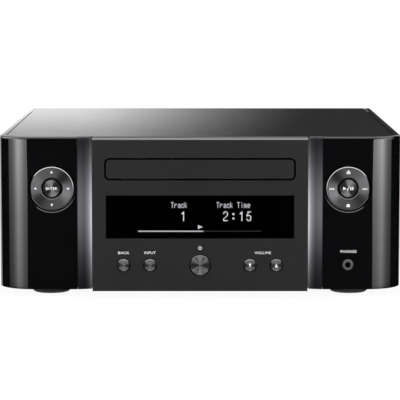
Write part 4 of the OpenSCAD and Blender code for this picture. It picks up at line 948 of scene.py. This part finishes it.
halo_card("edge_halo", [(-90, 0.12), (-35, 0.35), (-8, 0.6), (15, 1.6), (165, 1.6), (188, 0.6), (215, 0.35),
                        (270, 0.12)], *rims, *lips)
for strip in strips:
    flagged(strip, "EXCLUDE", *keys, *pad_keys, *rims, *lips)

# Headphone socket: a grey moulded bush with a chamfered edge, pressed into the right wing
# under its pad
jack_x = 102.1
jack_z = 22.1
bush_r = 4.2


def socket_moulding():
    """Grey moulding with painted shade: darker in its bore and round its chamfered edge"""
    material, tree, shader = new_material("grey_socket_painted_shade")
    radius = from_axis(tree, jack_x * mm, jack_z * mm)[1]
    out = add(tree, "ShaderNodeMath", {0: radius, 1: bush_r * mm}, operation="DIVIDE")
    # The dark colour in the bore and at the outer chamfer is painted shade; the middle keeps the grey of
    # the moulding
    painted_shade_ramp = add(tree, "ShaderNodeValToRGB", {0: out},
                ((0.0, 0.0), (0.45, 0.1), (0.53, 0.9), (0.79, 0.8), (0.88, 0.5), (0.95, 0.2)))
    tint(tree, shader, painted_shade_ramp, "#19191b", "#525254")
    vary(tree, shader, "Roughness", grain(tree, 5.0), 0.34, 0.46)
    return material


dress(socket_moulding(), "headphone_socket")


# Printed marks: plain signs and the usual words of such keys, screen-printed in pale ink on keys,
# pads, panel and wing
def pale_ink():
    """Screen ink: nearly white and matt"""
    material, tree, shader = new_material("pale_ink", Roughness=0.5)
    tint(tree, shader, grain(tree, 0.8), "#e8e8ea", "#f1f1f2")
    return material


def triangle(x, z, width, height, turn):
    """A triangle that points up, turned counterclockwise in degrees about its middle"""
    c, s = math.cos(math.radians(turn)), math.sin(math.radians(turn))
    corners = [(-width / 2, -height / 2), (width / 2, -height / 2), (0.0, height / 2)]
    return [(x + a * c - b * s, z + a * s + b * c) for a, b in corners]


def bar(x, z, width, height):
    """An upright rectangle about its middle"""
    return oblong(x - width / 2, z - height / 2, x + width / 2, z + height / 2)


def arc(x, z, radius, start, end, steps):
    """Points of an arc on the front, in millimetres; angles in degrees from the right, upwards"""
    turns = [math.radians(start + (end - start) * i / steps) for i in range(steps + 1)]
    return [(x + radius * math.cos(t), z + radius * math.sin(t)) for t in turns]


def stroke(points, width):
    """Outline of a line of that width through the points"""
    left, right = [], []
    for i, (x, z) in enumerate(points):
        before = points[max(i - 1, 0)]
        after = points[min(i + 1, len(points) - 1)]
        dx, dz = after[0] - before[0], after[1] - before[1]
        reach = width / 2 / math.hypot(dx, dz)
        left.append((x - dz * reach, z + dx * reach))
        right.append((x + dz * reach, z - dx * reach))
    return right + left[::-1]


ink = pale_ink()
ring_low, ring_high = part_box("transport_ring")
pad_x = (ring_low[0] + ring_high[0]) / 2 / mm
pad_z = (ring_low[2] + ring_high[2]) / 2 / mm
pad_y = ring_low[1] / mm
mark_r = 11.5
dish_out = 13.6
dish_depth = 0.5


def dished(middle_x):
    """Face of a pad's ring, which is dished towards its hole"""
    def face(x, z):
        radius = math.hypot(x - middle_x, z - pad_z)
        return pad_y + dish_depth * (dish_out - radius) / (dish_out - ring_hole)
    return face


arrow = 1.8
arrows = [triangle(-pad_x + mark_r * math.cos(turn), pad_z + mark_r * math.sin(turn), arrow, arrow,
                   math.degrees(turn) - 90) for turn in (0.0, math.pi / 2, math.pi, 1.5 * math.pi)]
flat_marks("nav_arrows", arrows, dished(-pad_x), ink, "nav_ring")
eject_width = 2.8
skip = 1.3
skip_height = 1.5
skip_z = pad_z - 0.3
signs = [triangle(pad_x, pad_z + mark_r + 0.4, eject_width, 1.7, 0),
         bar(pad_x, pad_z + mark_r - 1.1, eject_width, 0.6),
         bar(pad_x, pad_z - mark_r - 0.3, 2.1, 2.0)]
for side in (-1, 1):
    middle = pad_x + side * mark_r
    signs += [triangle(middle - side * skip * 0.8, skip_z, skip_height, skip, -90 * side),
              triangle(middle + side * skip * 0.2, skip_z, skip_height, skip, -90 * side),
              bar(middle + side * skip, skip_z, 0.4, skip_height)]
flat_marks("transport_signs", signs, dished(pad_x), ink, "transport_ring")
key_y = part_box("play_key")[0][1] / mm
sign_height = 2.3
pause_width = 0.75
slash_width = 0.4
play_signs = [triangle(pad_x - 2.4, pad_z, 2.4, sign_height, -90),
              bar(pad_x + 1.7, pad_z, pause_width, sign_height),
              bar(pad_x + 3.1, pad_z, pause_width, sign_height),
              stroke([(pad_x - 0.9, pad_z - 1.3), (pad_x + 0.7, pad_z + 1.3)], slash_width)]
flat_marks("play_signs", play_signs, lambda x, z: key_y, ink, "play_key")

thin_ink = 0.005
for key, turn in (("volume_down", 180), ("volume_up", 0)):
    low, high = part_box(key + "_key")
    middle = (low[0] + high[0]) / 2 / mm
    face_y = low[1] / mm
    height = (low[2] + high[2]) / 2 / mm
    sign = triangle(middle, height, 1.8, 2.5, turn)
    flat_marks(key + "_sign", [sign], lambda x, z: face_y, ink, key + "_key", thin_ink)


def word(text, x, y, z, width, height, body, weight=0.0, ahead=1):
    """A printed word about its middle, in millimetres, on a face that looks ahead, or with -1 back"""
    name = text.lower().replace(" ", "_")
    letters = bpy.data.curves.new(name + "_letters", "FONT")
    letters.body = text
    letters.extrude = 0.01
    letters.offset = weight
    letters.resolution_u = 3
    source = bpy.data.objects.new(letters.name, letters)
    scene.collection.objects.link(source)
    ready = source.evaluated_get(bpy.context.evaluated_depsgraph_get())
    mesh = bpy.data.meshes.new_from_object(ready)
    bpy.data.objects.remove(source)
    lows = [min(v.co[i] for v in mesh.vertices) for i in range(2)]
    highs = [max(v.co[i] for v in mesh.vertices) for i in range(2)]
    for vertex in mesh.vertices:
        across = (vertex.co[0] - lows[0]) / (highs[0] - lows[0]) - 0.5
        up = (vertex.co[1] - lows[1]) / (highs[1] - lows[1]) - 0.5
        proud = 0.03 if vertex.co[2] > 0 else 0.0
        vertex.co = ((x + ahead * across * width) * mm, (y - ahead * proud) * mm, (z + up * height) * mm)
    mesh.materials.clear()
    mesh.materials.append(ink)
    fitted(name + "_word", mesh, body)


panel_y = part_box("centre_panel")[0][1] / mm
wing_y = wing_low[1] / mm
back_x = -52.4
input_x = -34.3
volume_x = 43.1
phones_x = pad_x + 0.4
phones_z = 31.35
word_z = 31.7
word_h = 1.75
wing_word_h = 1.8
word("BACK", back_x, panel_y, word_z, 7.6, word_h, "cabinet")
word("INPUT", input_x, panel_y, word_z, 7.8, word_h, "cabinet")
word("VOLUME", volume_x, panel_y, word_z, 11.3, word_h, "cabinet")
word("PHONES", phones_x, wing_y, phones_z, 10.9, wing_word_h, "cabinet")
word("ENTER", -pad_x, key_y, pad_z, 7.9, wing_word_h, "enter_key", 0.02)
power_z = 35.0
power_r = 1.0
power_line = 0.4
power_legend = [stroke(arc(0.0, power_z, power_r, 125, 415, 24), power_line),
                bar(0.0, power_z + 0.95, power_line, 1.1)]
flat_marks("power_legend", power_legend, lambda x, z: panel_y, ink, "cabinet")


# Rear sockets: black moulded bodies behind the rear panel, a plated aerial thread, plated audio
# sleeves round white and red insulators, and red and black screw caps on the speaker terminals
black_moulding = plain_moulding("socket_moulding", "#141416", "#1b1b1e", 0.42)
dress(black_moulding, "terminal_plate", "audio_sockets", "data_sockets", "mains_inlet")
dress(machined("nickel_plate", "#a5a6a8", "#bcbdbf", 0.2), "aerial_socket")
dress(plain_moulding("black_cap_moulding", "#151517", "#1c1c1f", 0.3), "terminal_cap_1", "terminal_cap_3")
dress(plain_moulding("red_cap_moulding", "#8e1414", "#a31a1a", 0.3), "terminal_cap_2", "terminal_cap_4")


def ring_tree(material):
    """Geometry nodes: a turned ring on each point, its axis from front to back"""
    tree, given = points_tree("turned_rings", "Outer radius", "Bore radius", "Length")
    outer = add(tree, "GeometryNodeMeshCylinder", {"Vertices": 48, "Radius": given["Outer radius"],
                                                   "Depth": given["Length"]})
    bore = add(tree, "GeometryNodeMeshCylinder", {"Vertices": 48, "Radius": given["Bore radius"],
                                                  "Depth": 0.1})
    ring = add(tree, "GeometryNodeMeshBoolean", {"Mesh 1": outer, "Mesh 2": bore}, operation="DIFFERENCE")
    turned = add(tree, "GeometryNodeTransform", {"Geometry": ring, "Rotation": (math.pi / 2, 0.0, 0.0)})
    return on_points(tree, given, turned, material)


def turned_rings(name, places, y, length, outer, bore, material):
    """Rings on places in x and z, from y backwards over a length, in millimetres"""
    points = [(x * mm, (y + length / 2) * mm, z * mm) for x, z in places]
    return grown(name, points, ring_tree(material),
                 {"Outer radius": outer * mm, "Bore radius": bore * mm, "Length": length * mm}, "cabinet")


rear_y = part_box("rear_panel")[1][1] / mm
phono_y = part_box("audio_sockets")[1][1] / mm
aerial_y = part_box("aerial_socket")[1][1] / mm
audio_in_x = 34.0
audio_out_x = 48.0
left_row_z = 41.6
right_row_z = 27.6
aerial_x = 12.0
aerial_z = 62.0
sleeve_r = 4.3
sleeve_bore = 3.1
sleeve_proud = 0.3
insulator_r = 3.08
insulator_bore = 1.65
insulator_length = 0.22
aerial_ring_r = 3.0
aerial_ring_bore = 1.05
aerial_ring_length = 0.16
seat = 0.1
left_sockets = [(audio_in_x, left_row_z), (audio_out_x, left_row_z)]
right_sockets = [(audio_in_x, right_row_z), (audio_out_x, right_row_z)]
nickel = machined("nickel_sleeve", "#a9aaac", "#bfc0c2", 0.18)
turned_rings("phono_sleeves", left_sockets + right_sockets, rear_y, phono_y - rear_y + sleeve_proud,
             sleeve_r, sleeve_bore, nickel)
turned_rings("phono_left_rings", left_sockets, phono_y - seat, insulator_length, insulator_r,
             insulator_bore, plain_moulding("white_insulator", "#d2d1cc", "#dedcd6", 0.4))
turned_rings("phono_right_rings", right_sockets, phono_y - seat, insulator_length, insulator_r,
             insulator_bore, plain_moulding("red_insulator", "#8f1616", "#a31c1c", 0.4))
turned_rings("aerial_insulator", [(aerial_x, aerial_z)], aerial_y - seat, aerial_ring_length, aerial_ring_r,
             aerial_ring_bore, plain_moulding("aerial_insulator", "#cfcdc6", "#dad8d2", 0.4))

network_x = -6.0
network_pitch = 1.02
network_in = 6.0
network_up = 3.9
usb_x = -34.0
usb_pitch = 2.5
usb_in = 5.5
usb_thick = 0.12
socket_z = 24.6
socket_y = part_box("data_sockets")[1][1] / mm
contact_gold = machined("contact_gold", "#c79a3c", "#dcb257", 0.2)
network_contacts = [((network_x + network_pitch * (i - 3.5)) * mm, (socket_y - network_in) * mm,
                     (socket_z + network_up) * mm) for i in range(8)]
grown("network_contacts", network_contacts, dots_tree(contact_gold),
      {"Dot width": 0.45 * mm, "Dot depth": 8.0 * mm, "Dot height": 0.5 * mm}, "cabinet")
usb_contacts = [((usb_x + usb_pitch * (i - 1.5)) * mm, (socket_y - usb_in) * mm,
                 (socket_z - usb_thick) * mm) for i in range(4)]
grown("usb_contacts", usb_contacts, dots_tree(contact_gold),
      {"Dot width": 1.1 * mm, "Dot depth": 7.0 * mm, "Dot height": usb_thick * mm}, "cabinet")


# Case screws: pan-head steel screws with a cross recess and a black zinc finish,
# which hold the rear panel to the pan and the sides
def screw_tree(material):
    """Geometry nodes: a cross-recessed screw on each point, its head to the back"""
    tree, given = points_tree("cross_screws", "Head radius", "Head height", "Recess width", "Shank radius",
                              "Shank length")
    crown = add(tree, "ShaderNodeMath", {0: given["Head radius"], 1: 0.72}, operation="MULTIPLY")
    head = add(tree, "GeometryNodeMeshCone", {"Vertices": 40, "Radius Top": crown,
                                              "Radius Bottom": given["Head radius"],
                                              "Depth": given["Head height"]})
    reach = add(tree, "ShaderNodeMath", {0: given["Head radius"], 1: 1.1}, operation="MULTIPLY")
    top = add(tree, "ShaderNodeCombineXYZ", {"Z": given["Head height"]})
    blades = []
    for x, y in ((reach, given["Recess width"]), (given["Recess width"], reach)):
        size = add(tree, "ShaderNodeCombineXYZ", {"X": x, "Y": y, "Z": given["Head height"]})
        blade = add(tree, "GeometryNodeMeshCube", {"Size": size})
        blades.append(add(tree, "GeometryNodeTransform", {"Geometry": blade, "Translation": top}))
    cut = add(tree, "GeometryNodeMeshBoolean", {"Mesh 1": head, "Mesh 2": blades[0]},
              operation="DIFFERENCE")
    tree.links.new(blades[1].outputs[0], cut.inputs["Mesh 2"])
    shank = add(tree, "GeometryNodeMeshCylinder", {"Vertices": 24, "Radius": given["Shank radius"],
                                                   "Depth": given["Shank length"]})
    half = add(tree, "ShaderNodeMath", {0: given["Shank length"], 1: -0.5}, operation="MULTIPLY")
    under = add(tree, "ShaderNodeCombineXYZ", {"Z": half})
    shank = add(tree, "GeometryNodeTransform", {"Geometry": shank, "Translation": under})
    screw = add(tree, "GeometryNodeJoinGeometry", {"Geometry": cut})
    tree.links.new(shank.outputs[0], screw.inputs["Geometry"])
    turned = add(tree, "GeometryNodeTransform", {"Geometry": screw, "Rotation": (-math.pi / 2, 0.0, 0.0)})
    return on_points(tree, given, turned, material)


black_zinc = machined("black_zinc_screw", "#3b3c3e", "#4c4d50", 0.34)
dress(black_zinc, "case_screws")
screw_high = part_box("case_screws")[1][1]
screw_apart = 8 * mm
heads = []
for vertex in frame["nodes"]["case_screws"].data.vertices:
    x, y, z = vertex.co
    if y > screw_high - 0.1 * mm:
        near = [head for head in heads if math.hypot(head[0][0] - x, head[0][1] - z) < screw_apart]
        if near:
            near[0].append((x, z))
        else:
            heads.append([(x, z)])
screw_points = []
for head in heads:
    across, up = [(min(values) + max(values)) / 2 for values in zip(*head)]
    screw_points.append((across, rear_y * mm, up))
screws = grown("cross_screws", screw_points, screw_tree(black_zinc),
               {"Head radius": 2.8 * mm, "Head height": 1.8 * mm, "Recess width": 0.75 * mm,
                "Shank radius": 1.4 * mm, "Shank length": 6.0 * mm}, "cabinet")
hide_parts("case_screws")

# Rear legends: the usual words for sockets, screen-printed on the rear panel in pale ink,
# each above or between the sockets that it names
legend_h = 2.0
speaker_x = 96.0
optical_x = -54.0
inlet_x = -104.0
line_x = (audio_in_x + audio_out_x) / 2
audio_z = 50.0
data_z = 33.5
for legend, x, z, wide in (("SPEAKERS", speaker_x, 60.0, 15.0), ("LINE", line_x, 54.5, 7.0),
                           ("IN", audio_in_x, audio_z, 2.6), ("OUT", audio_out_x, audio_z, 5.4),
                           ("L", line_x, left_row_z, 1.4), ("R", line_x, right_row_z, 1.7),
                           ("FM", aerial_x, 70.5, 3.9), ("NETWORK", network_x, 36.0, 13.6),
                           ("USB", usb_x, data_z, 5.6), ("OPTICAL", optical_x, data_z, 12.2),
                           ("AC IN", inlet_x, 48.5, 7.6)):
    word(legend, x, rear_y, z, wide, legend_h, "cabinet", 0.0, -1)
